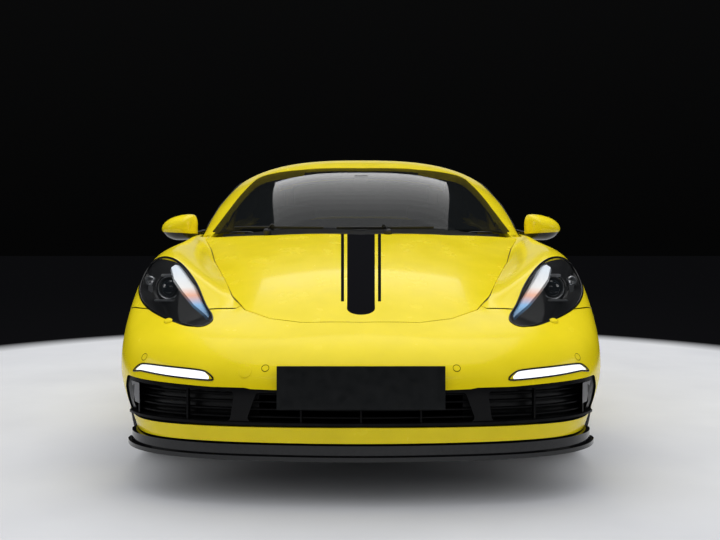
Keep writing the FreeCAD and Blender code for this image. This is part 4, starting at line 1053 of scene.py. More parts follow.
def block_mesh(name, rings, bevel=0.0):
    """A closed mesh through rings of corner points, with flat ends."""
    work = bmesh.new()
    made = [[work.verts.new(p) for p in ring] for ring in rings]
    for a, b in zip(made, made[1:]):
        for i in range(len(a)):
            j = (i + 1) % len(a)
            work.faces.new((a[i], a[j], b[j], b[i]))
    work.faces.new(list(reversed(made[0])))
    work.faces.new(made[-1])
    bmesh.ops.recalc_face_normals(work, faces=work.faces)
    if bevel:
        rims = [e for e in work.edges if e.calc_face_angle(0) > math.radians(40)]
        bmesh.ops.bevel(work, geom=rims, offset=bevel, segments=2, affect="EDGES")
    return smooth_mesh(work, name)


# Wheels

RIM_RADIUS = 0.262
TREAD_DEPTH = 0.007
# Each wheel's centre across, its axle, its centre's height, its radius and its width
FRONT_WHEEL = (0.757, FRONT_AXLE, 0.336, 0.336, 0.240)
REAR_WHEEL = (0.746, REAR_AXLE, 0.347, 0.347, 0.270)
FACE_SETBACK = 0.048
SPOKES, WHEEL_BOLTS, TREAD_BLOCKS = 10, 5, 62
ROUND_STEPS = 112
tread_rubber = grained_finish("tread_rubber", (0.011, 0.011, 0.0115), 0.8, 380.0, 0.5)
wheel_paint = metal_finish("wheel_paint", (0.035, 0.036, 0.038), 0.34, 0.05)
disc_iron = metal_finish("disc_iron", (0.42, 0.42, 0.43), 0.30, 0.3)
caliper_paint = gloss_finish("caliper_paint", (0.014, 0.014, 0.015), 0.3)


def tread_unit(width, pitch):
    """One pitch of tread: a shoulder block each side and slanted blocks between."""
    half = width / 2 - 0.026
    work = bmesh.new()
    columns = [(-half, -half * 0.62, 0.0), (-half * 0.56, -half * 0.08, 0.35),
               (half * 0.08, half * 0.56, -0.35), (half * 0.62, half, 0.0)]
    for low, high, slant in columns:
        corners = []
        for z in (low, high):
            shift = slant * pitch * (1 if z == high else -1)
            for y in (-0.43, 0.43):
                corners.append((y * pitch + shift, z))
        order = [corners[0], corners[1], corners[3], corners[2]]
        base = [work.verts.new((-0.003, y, z)) for y, z in order]
        crown = [work.verts.new((TREAD_DEPTH - 0.010 * (z / (width / 2)) ** 4, y, z))
                 for y, z in order]
        faces = [work.faces.new(crown), work.faces.new(list(reversed(base)))]
        for i in range(4):
            j = (i + 1) % 4
            faces.append(work.faces.new((base[i], base[j], crown[j], crown[i])))
    bmesh.ops.recalc_face_normals(work, faces=work.faces)
    mesh = bpy.data.meshes.new("tread_unit")
    work.to_mesh(mesh)
    work.free()
    return mesh


def spoke_unit(width, side):
    """One spoke: a waisted bar from the hub to the rim, its face turned outboard."""
    face = width / 2 - FACE_SETBACK
    rings = []
    for radius, half, front, back in [
            (0.045, 0.017, -0.002, -0.036), (0.085, 0.013, 0.004, -0.034),
            (0.140, 0.011, 0.006, -0.032), (0.200, 0.012, 0.010, -0.030),
            (0.238, 0.016, 0.016, -0.034), (0.256, 0.022, 0.022, -0.040)]:
        ring = [(radius, -half, face + back), (radius, -half, face + front - 0.004),
                (radius, -half * 0.55, face + front), (radius, half * 0.55, face + front),
                (radius, half, face + front - 0.004), (radius, half, face + back)]
        rings.append([(a, b, side * c) for a, b, c in ring])
    return block_mesh("spoke_unit", rings, 0.0015)


def make_wheel(place, side):
    """A tyre with its tread, a ten-spoke rim with bolts, and a solid brake disc with black dots
    painted where its drilled holes would be dark with shade.
    """
    wheel_x, axle, height, radius, width = place
    label = "%s_%s" % ("front" if axle < 0 else "rear", side_name(side))
    body = "wheel_" + label
    centre = Vector((side * wheel_x, axle, height))
    axis = Vector((side, 0, 0))
    half = width / 2
    crown = radius - TREAD_DEPTH
    profile = [(RIM_RADIUS, 0.017 - half), (RIM_RADIUS + 0.010, 0.013 - half),
               (RIM_RADIUS + 0.022, 0.010 - half), (RIM_RADIUS + 0.024, 0.0075 - half),
               (RIM_RADIUS + 0.028, 0.008 - half), (radius - 0.052, 0.002 - half),
               (radius - 0.040, 0.0005 - half), (radius - 0.026, 0.003 - half),
               (radius - 0.016, 0.009 - half), (radius - 0.011, 0.018 - half),
               (crown, 0.028 - half)]
    profile += [(r, -d) for r, d in reversed(profile)]
    profile.append(profile[0])
    tyre = turned("tyre_wall_" + label, profile, centre, axis, body, "tyre", rubber,
                  steps=ROUND_STEPS)
    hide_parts("tyre_" + label)
    pitch = 2 * math.pi * crown / TREAD_BLOCKS
    repeated("tyre_tread_" + label, tread_unit(width, pitch), RING, body, "tyre",
             tread_rubber, count=TREAD_BLOCKS, radius=crown, centre=centre)
    edge = RIM_RADIUS - 0.0003
    well = RIM_RADIUS - 0.016
    barrel = [(edge - 0.016, half - 0.030), (edge - 0.012, half - 0.014),
              (edge - 0.002, half - 0.009), (RIM_RADIUS + 0.010, half - 0.010),
              (RIM_RADIUS + 0.010, half - 0.0138), (edge, half - 0.0145),
              (edge, half - 0.040), (well, half - 0.060), (well, 0.060 - half),
              (edge, 0.040 - half), (edge, 0.0145 - half),
              (RIM_RADIUS + 0.010, 0.0138 - half), (RIM_RADIUS + 0.010, 0.010 - half),
              (edge - 0.004, 0.009 - half), (well - 0.008, 0.062 - half),
              (well - 0.008, half - 0.062)]
    barrel.append(barrel[0])
    rim = turned("rim_barrel_" + label, barrel, centre, axis, body, "rim", wheel_paint,
                 steps=ROUND_STEPS)
    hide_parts("rim_" + label)
    repeated("rim_spokes_" + label, spoke_unit(width, side), RING, body, "rim",
             wheel_paint, count=SPOKES, radius=0.0, centre=centre)
    face = half - FACE_SETBACK
    turned("rim_hub_" + label,
           [(0.0, face - 0.082), (0.062, face - 0.082), (0.062, face - 0.030),
            (0.066, face - 0.010), (0.058, face - 0.001), (0.040, face + 0.001),
            (0.038, face - 0.002), (0.034, face - 0.002), (0.033, face + 0.004),
            (0.028, face + 0.008), (0.0, face + 0.010)],
           centre, axis, body, "rim", wheel_paint, steps=64)
    bolt = [[(0.050 + r * math.cos(k * math.pi / 3), r * math.sin(k * math.pi / 3),
              side * (face + d)) for k in range(6)]
            for r, d in ((0.0095, -0.012), (0.0095, 0.002), (0.0080, 0.0045), (0.004, 0.001))]
    repeated("rim_bolts_" + label, block_mesh("bolt_unit", bolt), RING, body, "rim",
             satin_metal, count=WHEEL_BOLTS, radius=0.0, centre=centre)
    disc = [(0.070, -0.052), (0.165, -0.052), (0.165, -0.041), (0.160, -0.040),
            (0.160, -0.034), (0.165, -0.033), (0.165, -0.022), (0.074, -0.022),
            (0.070, 0.0), (0.066, 0.0), (0.066, -0.052), (0.070, -0.052)]
    turned("brake_disc_" + label, disc, centre, axis, body, "rim", disc_iron, steps=96)
    # The disc is solid: thin black dots on its face stand for the drilled holes, as painted
    # shade
    for ring, radius_of_ring in enumerate((0.092, 0.115, 0.140)):
        hole = [[(radius_of_ring + 0.0032 * math.cos(k * math.pi / 4),
                  0.0032 * math.sin(k * math.pi / 4), side * d) for k in range(8)]
                for d in (-0.0225, -0.0215)]
        repeated("disc_hole_shade_%d_%s" % (ring, label), block_mesh("hole_shade_unit", hole), RING,
                 body, "rim", lamp_black, count=24 + 6 * ring, radius=0.0, centre=centre)


for side in (1, -1):
    make_wheel(FRONT_WHEEL, side)
    make_wheel(REAR_WHEEL, side)
    dress("knuckle_" + side_name(side), caliper_paint)


# Outside trim

MIRROR_OUTLINE = [(976, 893), (966, 917), (938, 940), (900, 955), (862, 962), (826, 962),
                  (811, 951), (804, 928), (803, 895), (803, 868), (808, 850), (835, 840),
                  (880, 836), (915, 838), (949, 853), (970, 876)]
MIRROR_MIDDLE = (886, 902)
# The line between cap and lower shell: a point across and up, and its slope
MIRROR_SPLIT = (803, 868, 9 / 169)
mirror_glass = metal_finish("mirror_glass", (0.72, 0.76, 0.80), 0.03, 0.0)


def beside(station, z, sheet_name="canopy"):
    """The place on a sheet seen from the car's left side."""
    return skins[sheet_name].hit(at(1500, station, z), Vector((-1, 0, 0)))


def to_side(point, side):
    return Vector((side * point.x, point.y, point.z))


def mirror_rings():
    """Shares of the outline and their stations, from the shell's nose to its glass."""
    rings = []
    for share in (0.15, 0.3, 0.45, 0.6, 0.72, 0.82, 0.9, 0.95, 0.98, 1.0):
        depth = 1 - (1 - share ** 2.3) ** 0.48
        rings.append((share, 1593 + 92 * depth))
    return rings + [(1.0, 1692), (0.985, 1696), (0.955, 1697), (0.945, 1694), (0.94, 1686)]


def make_door_mirror(side):
    """A painted cap over a black lower shell, its glass, its arm and its foot."""
    label = side_name(side)
    body = "door_" + label
    outline = rounded_outline(MIRROR_OUTLINE, 4)
    mx, mz = MIRROR_MIDDLE
    work = bmesh.new()
    nose = work.verts.new(at(side * mx, 1592.5, mz))
    rings = [[work.verts.new(at(side * (mx + (x - mx) * share), station, mz + (z - mz) * share))
              for x, z in outline] for share, station in mirror_rings()]
    count = len(outline)
    for i in range(count):
        work.faces.new((nose, rings[0][i], rings[0][(i + 1) % count]))
    for k, (a, b) in enumerate(zip(rings, rings[1:])):
        for i in range(count):
            j = (i + 1) % count
            face = work.faces.new((a[i], a[j], b[j], b[i]))
            face.material_index = 1 if k > 11 else 0
    work.faces.new(rings[-1]).material_index = 2
    x, z, slope = MIRROR_SPLIT
    split = at(side * x, 1600, z)
    upward = Vector((-side * slope, 0, 1))
    everything = work.verts[:] + work.edges[:] + work.faces[:]
    bmesh.ops.bisect_plane(work, geom=everything, plane_co=split, plane_no=upward)
    for face in work.faces:
        if face.material_index == 0 and (face.calc_center_median() - split).dot(upward) < 0:
            face.material_index = 1
    shell = new_piece("mirror_shell_" + label, close_mesh(work, "mirror_shell_" + label), body,
                      "paint", paint, black_gloss, mirror_glass)
    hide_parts("mirror_" + label)
    arm = []
    for x, station, z, wide, tall in [(736, 1742, 889, 26, 7), (780, 1722, 880, 21, 8),
                                      (822, 1698, 868, 19, 9), (858, 1674, 856, 22, 8)]:
        arm.append([at(side * x, station + wide * math.cos(k * math.pi / 10),
                       z + tall * math.sin(k * math.pi / 10)) for k in range(20)])
    new_piece("mirror_arm_" + label, block_mesh("mirror_arm_" + label, arm), body, "paint",
              black_gloss)
    foot = []
    for station, z in [(1702, 883), (1704, 890), (1769, 921), (1769, 883)]:
        place, _ = beside(station, z)
        foot.append(to_side(place, side))
    plate("mirror_foot_" + label, foot, Vector((-side * 0.010, 0, -0.004)), body, "paint",
          black_gloss, bevel=0.0012)


def screen_edge(x):
    """The station of the windscreen's lower edge."""
    return 1312 + 84 * (x / 400) ** 2


def make_wiper(name, pivot, reach):
    """A wiper parked along the foot of the windscreen."""
    blade = []
    spine = []
    for x in np.linspace(reach[0], reach[1], 14):
        place, normal = over_nose(x, screen_edge(x) + 2, "canopy")
        blade.append(place + normal * 0.0035)
        spine.append(place + normal * 0.0105)
    tube(name + "_rubber", blade, 0.0026, "root", "black_plastic", rubber)
    tube(name + "_blade", spine, 0.0045, "root", "black_plastic", black_plastic)
    middle = spine[7]
    start, normal = over_nose(pivot, screen_edge(pivot) - 22, "canopy")
    arm = []
    for k in range(9):
        t = k / 8
        point = start.lerp(middle, t) + Vector((0, 0, 0.004 + 0.016 * math.sin(math.pi * t)))
        wide = 0.011 - 0.006 * t
        arm.append([point + Vector((0, wide * math.cos(a), 0.005 * math.sin(a)))
                    for a in (j * math.pi / 5 for j in range(10))])
    new_piece(name + "_arm", block_mesh(name + "_arm", arm), "root", "black_plastic",
              black_plastic)
    turned(name + "_nut", [(0.018, -0.012), (0.018, 0.008), (0.014, 0.013), (0.0, 0.014)],
           start, (0, -0.3, 1), "root", "black_plastic", black_plastic, steps=28)


def make_handle(side):
    """A body-coloured pull over a black cup in the door's skin."""
    label = side_name(side)
    cup = []
    for k in range(28):
        turn = 2 * math.pi * k / 28
        place, normal = beside(2388 + 62 * math.cos(turn), 742 + 21 * math.sin(turn), "front")
        cup.append(to_side(place + normal * 0.0012, side))
    plate("handle_cup_" + label, cup, Vector((-side * 0.004, 0, 0)), "door_" + label, "paint",
          black_gloss)
    rings = []
    for k in range(15):
        t = k / 14
        place, normal = beside(2292 + 192 * t, 742, "front")
        lift = 0.002 + 0.016 * math.sin(math.pi * t) ** 0.6
        tall = 0.0085 + 0.003 * math.sin(math.pi * t)
        ring = []
        for j in range(12):
            turn = 2 * math.pi * j / 12
            point = place + normal * (lift + 0.0045 * math.cos(turn))
            point.z += tall * math.sin(turn)
            ring.append(to_side(point, side))
        rings.append(ring)
    new_piece("door_handle_" + label, block_mesh("door_handle_" + label, rings),
              "door_" + label, "paint", paint)


def seal_path(points, side):
    """Places just off the canopy's sheet at (station, height) points."""
    path = []
    for station, z in points:
        place, normal = beside(station, z)
        path.append(to_side(place + normal * SEAL_LIFT, side))
    return path


SEAL_LIFT, SEAL_RADIUS = 0.001, 0.0042
DOOR_SEAL = [(1700, 888), (1760, 917), (1930, 1010), (2120, 1107), (2230, 1141), (2400, 1158),
             (2536, 1157), (2536, 896), (2400, 891), (2200, 885), (2000, 881), (1800, 880)]
QUARTER_SEAL = [(2608, 1154), (2820, 1124), (3000, 1074), (3160, 1004), (3200, 966),
                (3110, 934), (2850, 914), (2608, 900)]


def make_seals(side):
    """The rubber round a door's glass and round a quarter window."""
    label = side_name(side)
    tube("door_seal_" + label, seal_path(DOOR_SEAL, side), SEAL_RADIUS, "door_" + label,
         "clear_glass", rubber, True)
    tube("quarter_seal_" + label, seal_path(QUARTER_SEAL, side), SEAL_RADIUS, "root",
         "clear_glass", rubber, True)


for side in (1, -1):
    make_door_mirror(side)
    make_handle(side)
    make_seals(side)
make_wiper("wiper_left", 120, (330, -110))
make_wiper("wiper_right", -430, (-170, -590))

tail_red, tail_place = finish("tail_lamp_red", (0.30, 0.008, 0.010), 0.10, coat_weight=1.0,
                              coat_roughness=0.02, emission_strength=0.35)
tail_x, _, tail_z = tail_place.parts()
cell_across = abs(tail_x) * 110.0
cell_up = tail_z * 62.5
dots = (cell_across.maths("PINGPONG", cell_across, 0.5)
        * cell_up.maths("PINGPONG", cell_up, 0.5)).spread(0.10, 0.18)
feed(tail_red, "Base Color",
     dots.mix((0.22, 0.006, 0.008, 1.0), (0.60, 0.030, 0.030, 1.0)))
feed(tail_red, "Emission Color", dots.mix((0.02, 0.0, 0.0, 1.0), (0.8, 0.03, 0.03, 1.0)))
sleek("tail_lamps", ["rear"], "red_lamp", tail_red)


def on_tail(x, z):
    """The place on the tail's sheet seen from straight behind."""
    return skins["rear"].hit(at(x, 4800, z), Vector((0, -1, 0)))


def tail_patch(name, x0, x1, z0, z1, slot, material, lift=0.0012):
    """A thin rectangle that follows the tail's sheet."""
    work = bmesh.new()
    grid = []
    for z in np.linspace(z0, z1, 7):
        row = []
        for x in np.linspace(x0, x1, 15):
            place, normal = on_tail(float(x), float(z))
            row.append(work.verts.new(place + normal * lift))
        grid.append(row)
    for low, high in zip(grid, grid[1:]):
        for i in range(len(low) - 1):
            work.faces.new((low[i], low[i + 1], high[i + 1], high[i]))
    bmesh.ops.solidify(work, geom=work.faces[:], thickness=0.003)
    return new_piece(name, close_mesh(work, name), "root", slot, material)


tail_patch("rear_plate_panel", -262, 262, 470, 585, "plate_blank", plate_face, 0.004)
tail_patch("high_brake_lamp", -150, 150, 868, 876, "red_lamp", tail_red)
for side in (1, -1):
    label = side_name(side)
    # The rear reflectors take the tail lamps' red with its emission, so they glow though they
    # are no lamps: a painted glow
    tail_patch("rear_reflector_" + label, side * 520, side * 690, 402, 422, "red_lamp",
               tail_red)
    tail_patch("reverse_lamp_" + label, side * 500, side * 560, 716, 736, "white_lamp",
               light_guide)
    for k, (x, z) in enumerate([(side * 300, 430), (side * 640, 470)]):
        place, normal = on_tail(x, z)
        turned("rear_sensor_%s_%d" % (label, k), SENSOR_PROFILE, place, normal, "root",
               "paint", paint, black_gloss, bands=SENSOR_BANDS)
dress("exhaust_tips", chrome)
dress("rear_diffuser", black_plastic)


# Underside and inner structure

cast_metal = metal_finish("cast_metal", (0.22, 0.22, 0.225), 0.5, 0.5)
carpet = grained_finish("carpet", (0.016, 0.016, 0.017), 0.95, 1500.0, 0.9)
for node in ("floor_pan", "front_frame", "rear_frame"):
    dress(node, underseal)


def make_arch_liner(name, place, inner_x, sheet_name, side):
    """A thin dished liner in a wheel arch, its edge tucked in behind the body's skin."""
    _, axle, height, radius, _ = place
    reach = radius + 0.048
    rows = []
    for k in range(41):
        turn = math.radians(-32 + 244 * k / 40)
        y = axle + reach * math.cos(turn)
        z = height + reach * math.sin(turn)
        skin, _ = skins[sheet_name].hit(Vector((1.5, y, max(z, 0.24))), Vector((-1, 0, 0)))
        edge = skin.x - 0.016
        rib = 0.0025 if k % 5 == 0 else 0.0
        rows.append([Vector((side * (inner_x + (edge - inner_x) * t),
                             axle + (reach - rib) * math.cos(turn),
                             height + (reach - rib) * math.sin(turn)))
                     for t in (0, 0.1, 0.3, 0.5, 0.7, 0.9, 1.0)])
    work = bmesh.new()
    grid = [[work.verts.new(p) for p in row] for row in rows if row[0].z > 0.152]
    for a, b in zip(grid, grid[1:]):
        for i in range(len(a) - 1):
            work.faces.new((a[i], a[i + 1], b[i + 1], b[i]))
    bmesh.ops.solidify(work, geom=work.faces[:], thickness=0.003)
    return new_piece(name, close_mesh(work, name), "root", "underbody", underseal)


front_liner = make_arch_liner("arch_liner_front_left", FRONT_WHEEL, 0.600, "front", 1)
make_arch_liner("arch_liner_front_right", FRONT_WHEEL, 0.600, "front", -1)
make_arch_liner("arch_liner_rear_left", REAR_WHEEL, 0.560, "rear", 1)
make_arch_liner("arch_liner_rear_right", REAR_WHEEL, 0.560, "rear", -1)
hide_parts("wheel_liners")
for node in ("engine_block", "front_suspension", "rear_suspension"):
    dress(node, cast_metal)
dress("luggage_tubs", carpet)


# Cabin

hide = grained_finish("seat_hide", (0.013, 0.013, 0.014), 0.48, 520.0, 0.35)
screen_black = gloss_finish("screen_black", (0.006, 0.007, 0.009), 0.08)
SEAT_X = 375

# Outlines of the seat in station and height
CUSHION = [(1956, 320), (1990, 376), (2120, 368), (2290, 342), (2385, 338), (2392, 296),
           (2300, 262), (2120, 262), (1990, 270)]
BACKREST = [(2402, 372), (2400, 520), (2432, 700), (2466, 850), (2488, 930), (2532, 935),
            (2538, 850), (2506, 650), (2470, 480), (2450, 372)]
HEADREST = [(2500, 958), (2496, 1000), (2512, 1026), (2556, 1030), (2584, 1004), (2566, 958),
            (2534, 950)]


def pad_mesh(name, outline, half_widths, middle_x):
    """A closed pad: an outline in station and height drawn in towards both sides."""
    middle_s, middle_z = (sum(v) / len(outline) for v in zip(*outline))
    rings = []
    for x, share in half_widths:
        rings.append([at(middle_x + x, middle_s + (s - middle_s) * share,
                         middle_z + (z - middle_z) * share) for s, z in outline])
    return block_mesh(name, rings)


PAD_PRESSURE, PAD_FRAMES = 4.0, 20


def blown_up(name, mesh, voxel, limit):
    """The mesh as a pad swollen by cloth under pressure, each point moved limit at most."""
    holder = bpy.data.objects.new(name, mesh)
    bpy.context.scene.collection.objects.link(holder)
    remesh = holder.modifiers.new("voxels", "REMESH")
    remesh.mode = "VOXEL"
    remesh.voxel_size = voxel
    graph = bpy.context.evaluated_depsgraph_get()
    start = bpy.data.meshes.new_from_object(holder.evaluated_get(graph))
    bpy.data.objects.remove(holder)
    before = [v.co.copy() for v in start.vertices]
    holder = bpy.data.objects.new(name, start)
    bpy.context.scene.collection.objects.link(holder)
    cloth = holder.modifiers.new("cloth", "CLOTH")
    cloth.settings.use_pressure = True
    cloth.settings.uniform_pressure_force = PAD_PRESSURE
    cloth.settings.effector_weights.gravity = 0.0
    cloth.settings.quality = 4
    cloth.point_cache.frame_start = 1
    cloth.point_cache.frame_end = PAD_FRAMES
    for step in range(1, PAD_FRAMES + 1):
        bpy.context.scene.frame_set(step)
    graph = bpy.context.evaluated_depsgraph_get()
    blown = bpy.data.meshes.new_from_object(holder.evaluated_get(graph))
    bpy.data.objects.remove(holder)
    bpy.context.scene.frame_set(1)
    for vertex, start_place in zip(blown.vertices, before):
        move = vertex.co - start_place
        if move.length > limit:
            vertex.co = start_place + move.normalized() * limit
    return blown


def sewn(mesh, channels, depth=0.006, half_width=0.009):
    """Presses sewn channels into a pad: each is (axis, place, low, high) in metres."""
    normals = [v.normal.copy() for v in mesh.vertices]
    for vertex, normal in zip(mesh.vertices, normals):
        press = 0.0
        for axis, place, low, high in channels:
            other = 1 - axis if axis < 2 else 0
            if low < vertex.co[other] < high:
                gap = abs(vertex.co[axis] - place) / half_width
                if gap < 1:
                    press = max(press, (1 - gap * gap) ** 2)
        vertex.co -= normal * (press * depth)
    return mesh


def softened(name, mesh, body, slot, material):
    """A finished pad: one subdivision, smooth, with the other seat's mirror image."""
    made = []
    for side, label in ((1, "left"), (-1, "right")):
        copy = mesh.copy()
        if side < 0:
            work = bmesh.new()
            work.from_mesh(copy)
            for vertex in work.verts:
                vertex.co.x = -vertex.co.x
            bmesh.ops.reverse_faces(work, faces=work.faces)
            work.to_mesh(copy)
            work.free()
        copy.materials.clear()
        copy.shade_smooth()
        piece = new_piece("%s_%s" % (name, label), copy, body, slot, material)
        rounder = piece.modifiers.new("rounder", "SUBSURF")
        rounder.levels = 1
        rounder.render_levels = 1
        made.append(piece)
    return made


def make_seats():
    """Two seats, each a cushion, a back and a head rest blown up as cloth and then sewn."""
    wide = [(-188, 0.55), (-180, 0.82), (-150, 0.97), (0, 1.0), (150, 0.97), (180, 0.82),
            (188, 0.55)]
    cushion = pad_mesh("cushion", rounded_outline(CUSHION, 3), wide, SEAT_X)
    back = pad_mesh("backrest", rounded_outline(BACKREST, 3), wide, SEAT_X)
    narrow = [(-112, 0.5), (-104, 0.82), (-80, 0.97), (0, 1.0), (80, 0.97), (104, 0.82),
              (112, 0.5)]
    head = pad_mesh("headrest", rounded_outline(HEADREST, 3), narrow, SEAT_X)
    x = SEAT_X / 1000
    y = at(0, 2130, 0).y
    seams = [(0, x - 0.115, -9, 9), (0, x + 0.115, -9, 9)]
    across = [(1, y + d, x - 0.115, x + 0.115) for d in (-0.05, 0.03, 0.11, 0.19)]
    up = [(2, z, x - 0.115, x + 0.115) for z in (0.47, 0.55, 0.63, 0.71, 0.79, 0.87)]
    pads = softened("seat_cushion", sewn(blown_up("cushion", cushion, 0.007, 0.024),
                                         seams + across), "root", "leather", hide)
    pads += softened("seat_back", sewn(blown_up("backrest", back, 0.007, 0.022),
                                       seams + up), "root", "leather", hide)
    pads += softened("head_rest", blown_up("headrest", head, 0.006, 0.016), "root",
                     "leather", hide)
    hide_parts("seats")


WING_PATH = [(1962, 322), (1985, 352), (2060, 384), (2200, 384), (2330, 388), (2402, 432),
             (2430, 520), (2444, 640), (2466, 780), (2490, 880), (2506, 924)]


def open_curve(points, samples=5):
    """A smooth open line through (a, b) points."""
    ends = [points[0]] + list(points) + [points[-1]]
    line = []
    for i in range(1, len(ends) - 2):
        p = [Vector(ends[i + k]) for k in (-1, 0, 1, 2)]
        for k in range(samples):
            t = k / samples
            line.append(0.5 * (2 * p[1] + (p[2] - p[0]) * t
                               + (2 * p[0] - 5 * p[1] + 4 * p[2] - p[3]) * t * t
                               + (3 * p[1] - p[0] - 3 * p[2] + p[3]) * t ** 3))
    return line + [Vector(points[-1])]


def make_bolsters():
    """Firm side wings along each cushion and back, with a base and a back shell."""
    path = open_curve(WING_PATH)
    for side in (1, -1):
        label = side_name(side)
        for edge, place in ((1, "outer"), (-1, "inner")):
            rings = []
            for k, spot in enumerate(path):
                ahead = path[min(k + 1, len(path) - 1)] - path[max(k - 1, 0)]
                across = Vector((0, -ahead.y, ahead.x)).normalized()
                t = k / (len(path) - 1)
                full = max(0.015, 1 - abs(2 * t - 1) ** 7) ** 0.5
                lean = 34 * max(0.0, (spot.y - 560) / 240)
                middle = at(side * (SEAT_X + edge * (190 - lean)), spot.x, spot.y)
                rings.append([middle + Vector((0.030 * full * math.cos(a), 0, 0))
                              + across * (0.036 * full * math.sin(a))
                              for a in (j * math.pi / 9 for j in range(18))])
            name = "seat_wing_%s_%s" % (place, label)
            wing = new_piece(name, block_mesh(name, rings), "root", "leather", hide)
        base = []
        for s, z0, z1 in ((1975, 242, 300), (2100, 241, 290), (2300, 241, 290),
                          (2440, 241, 300)):
            base.append([at(side * (SEAT_X + a), s, z) for a, z in
                         ((-215, z0), (215, z0), (222, z1), (-222, z1))])
        new_piece("seat_base_" + label, block_mesh("seat_base_" + label, base, 0.006), "root",
                  "leather", black_plastic)
        shell = []
        for s, z, half in ((2470, 300, 200), (2492, 420, 214), (2514, 600, 214),
                           (2540, 800, 200), (2552, 925, 150), (2548, 950, 110)):
            shell.append([at(side * (SEAT_X + half * math.cos(a)), s - 16 + 16 * math.sin(a), z)
                          for a in (k * math.pi / 8 for k in range(16))])
        new_piece("seat_shell_" + label, block_mesh("seat_shell_" + label, shell), "root",
                  "leather", black_plastic)


def make_dials():
    """A hood over three plain dials, and a blank screen between two vents."""
    hood = []
    for s, rise, half in ((1585, 8, 150), (1630, 44, 162), (1690, 58, 168), (1722, 60, 170),
                          (1738, 52, 166)):
        arch = [(350 + half * math.cos(a), 846 + rise * math.sin(a))
                for a in (k * math.pi / 16 for k in range(17))]
        floor_line = [(350 - half, 812), (350 + half, 812)]
        hood.append([at(x, s, z) for x, z in arch + floor_line])
    new_piece("dial_hood", block_mesh("dial_hood", hood, 0.002), "root", "leather", soft_trim)
    toward = Vector((0, 1, 0.18)).normalized()
    for k, (x, size) in enumerate(((350, 0.050), (248, 0.040), (452, 0.040))):
        turned("dial_%d" % k, [(size, -0.006), (size, 0.004), (size - 0.003, 0.005),
                               (size - 0.005, 0.001), (size * 0.5, 0.0005), (0.0, 0.0005)],
               at(x, 1741, 852), toward, "root", "leather", satin_metal, screen_black,
               bands=[0, 0, 0, 1, 1])
        needle = [at(x, 1743.5, 852) + Vector((a * size * 0.8, 0, b * size * 0.8))
                  for a, b in ((-0.05, 0.0), (0.05, 0.02), (-0.55, -0.62), (-0.60, -0.58))]
        plate("dial_needle_%d" % k, needle, Vector((0, 0.001, 0)), "root", "leather",
              light_guide)
    frame_points = [at(x, 1722 + (z - 790) * -0.25, z) for x, z in
                    ((-104, 730), (104, 730), (110, 738), (110, 836), (104, 844), (-104, 844),
                     (-110, 836), (-110, 738))]
    plate("centre_screen", frame_points, Vector((0, 0.014, 0.003)), "root", "leather",
          screen_black, bevel=0.002)
    slat = block_mesh("slat_unit", [[(x, y, z) for y, z in ((0, 0), (0.012, 0.003),
                                                            (0.012, 0.0055), (0, 0.0025))]
                                    for x in (-0.052, 0.052)])
    for k, x in enumerate((-590, -170, 170, 590)):
        repeated("vent_slats_%d" % k, slat, ROW, "root", "leather", black_gloss,
                 count=5, start=at(x, 1716, 822), step=Vector((0, 0.001, 0.010)))
        edge = rounded_outline([(x - 58, 814), (x, 810), (x + 58, 814), (x + 60, 842),
                                (x + 58, 872), (x, 876), (x - 58, 872), (x - 60, 842)], 3)
        tube("vent_frame_%d" % k, [at(px, 1724, pz) for px, pz in edge], 0.0032, "root",
             "leather", satin_metal, True)


WHEEL_CENTRE = at(350, 1840, 745)
WHEEL_TILT = math.radians(24)
WHEEL_AXIS = Vector((0, math.cos(WHEEL_TILT), math.sin(WHEEL_TILT)))
WHEEL_UP = Vector((0, -math.sin(WHEEL_TILT), math.cos(WHEEL_TILT)))


def on_wheel(across, up, out):
    """A place in the steering wheel's own plane, in millimetres."""
    return WHEEL_CENTRE + (Vector((across, 0, 0)) + WHEEL_UP * up + WHEEL_AXIS * out) / 1000


def make_steering_wheel():
    """A padded rim on three spokes, its horn pad and boss, and the column's two stalks."""
    ring = [(0.178 + 0.0148 * math.cos(a), 0.0148 * math.sin(a))
            for a in (k * math.pi / 9 for k in range(18))]
    ring.append(ring[0])
    rim = turned("steering_rim", ring, WHEEL_CENTRE, WHEEL_AXIS, "steering_wheel", "leather",
                 hide, steps=96)
    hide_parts("steering_wheel")
    for label, turn in (("left", 4), ("right", 176), ("low", -90)):
        way = Vector((math.cos(math.radians(turn)), math.sin(math.radians(turn))))
        cross = Vector((-way.y, way.x))
        rings = []
        for reach, half, out in ((30, 26, -3), (70, 20, -2), (110, 16, 0), (150, 15, 2),
                                 (172, 19, 2)):
            ring = []
            for b, c in ((-1, -4), (1, -4), (1, 2), (0.7, 5), (-0.7, 5), (-1, 2)):
                spot = way * reach + cross * (b * half)
                ring.append(on_wheel(spot.x, spot.y, out + c))
            rings.append(ring)
        new_piece("wheel_spoke_" + label, block_mesh("wheel_spoke_" + label, rings, 0.001),
                  "steering_wheel", "leather", satin_metal if label == "low" else soft_trim)
    pad = [on_wheel(a, b, 4) for a, b in rounded_outline(
        [(62, 10), (52, 38), (0, 48), (-52, 38), (-62, 10), (-48, -34), (0, -48), (48, -34)], 4)]
    plate("horn_pad", pad, WHEEL_AXIS * 0.026, "steering_wheel", "leather", hide, bevel=0.007)
    turned("steering_boss", [(0.024, -0.094), (0.030, -0.060), (0.046, -0.018), (0.044, 0.006),
                             (0.0, 0.008)], WHEEL_CENTRE, WHEEL_AXIS, "steering_wheel",
           "leather", soft_trim, steps=40)
    for side, label in ((1, "left"), (-1, "right")):
        stalk = [on_wheel(side * a, b, c) for a, b, c in ((34, 6, -118), (80, 14, -96),
                                                          (122, 22, -84), (150, 26, -82))]
        tube("column_stalk_" + label, stalk, 0.0065, "root", "leather", soft_trim)


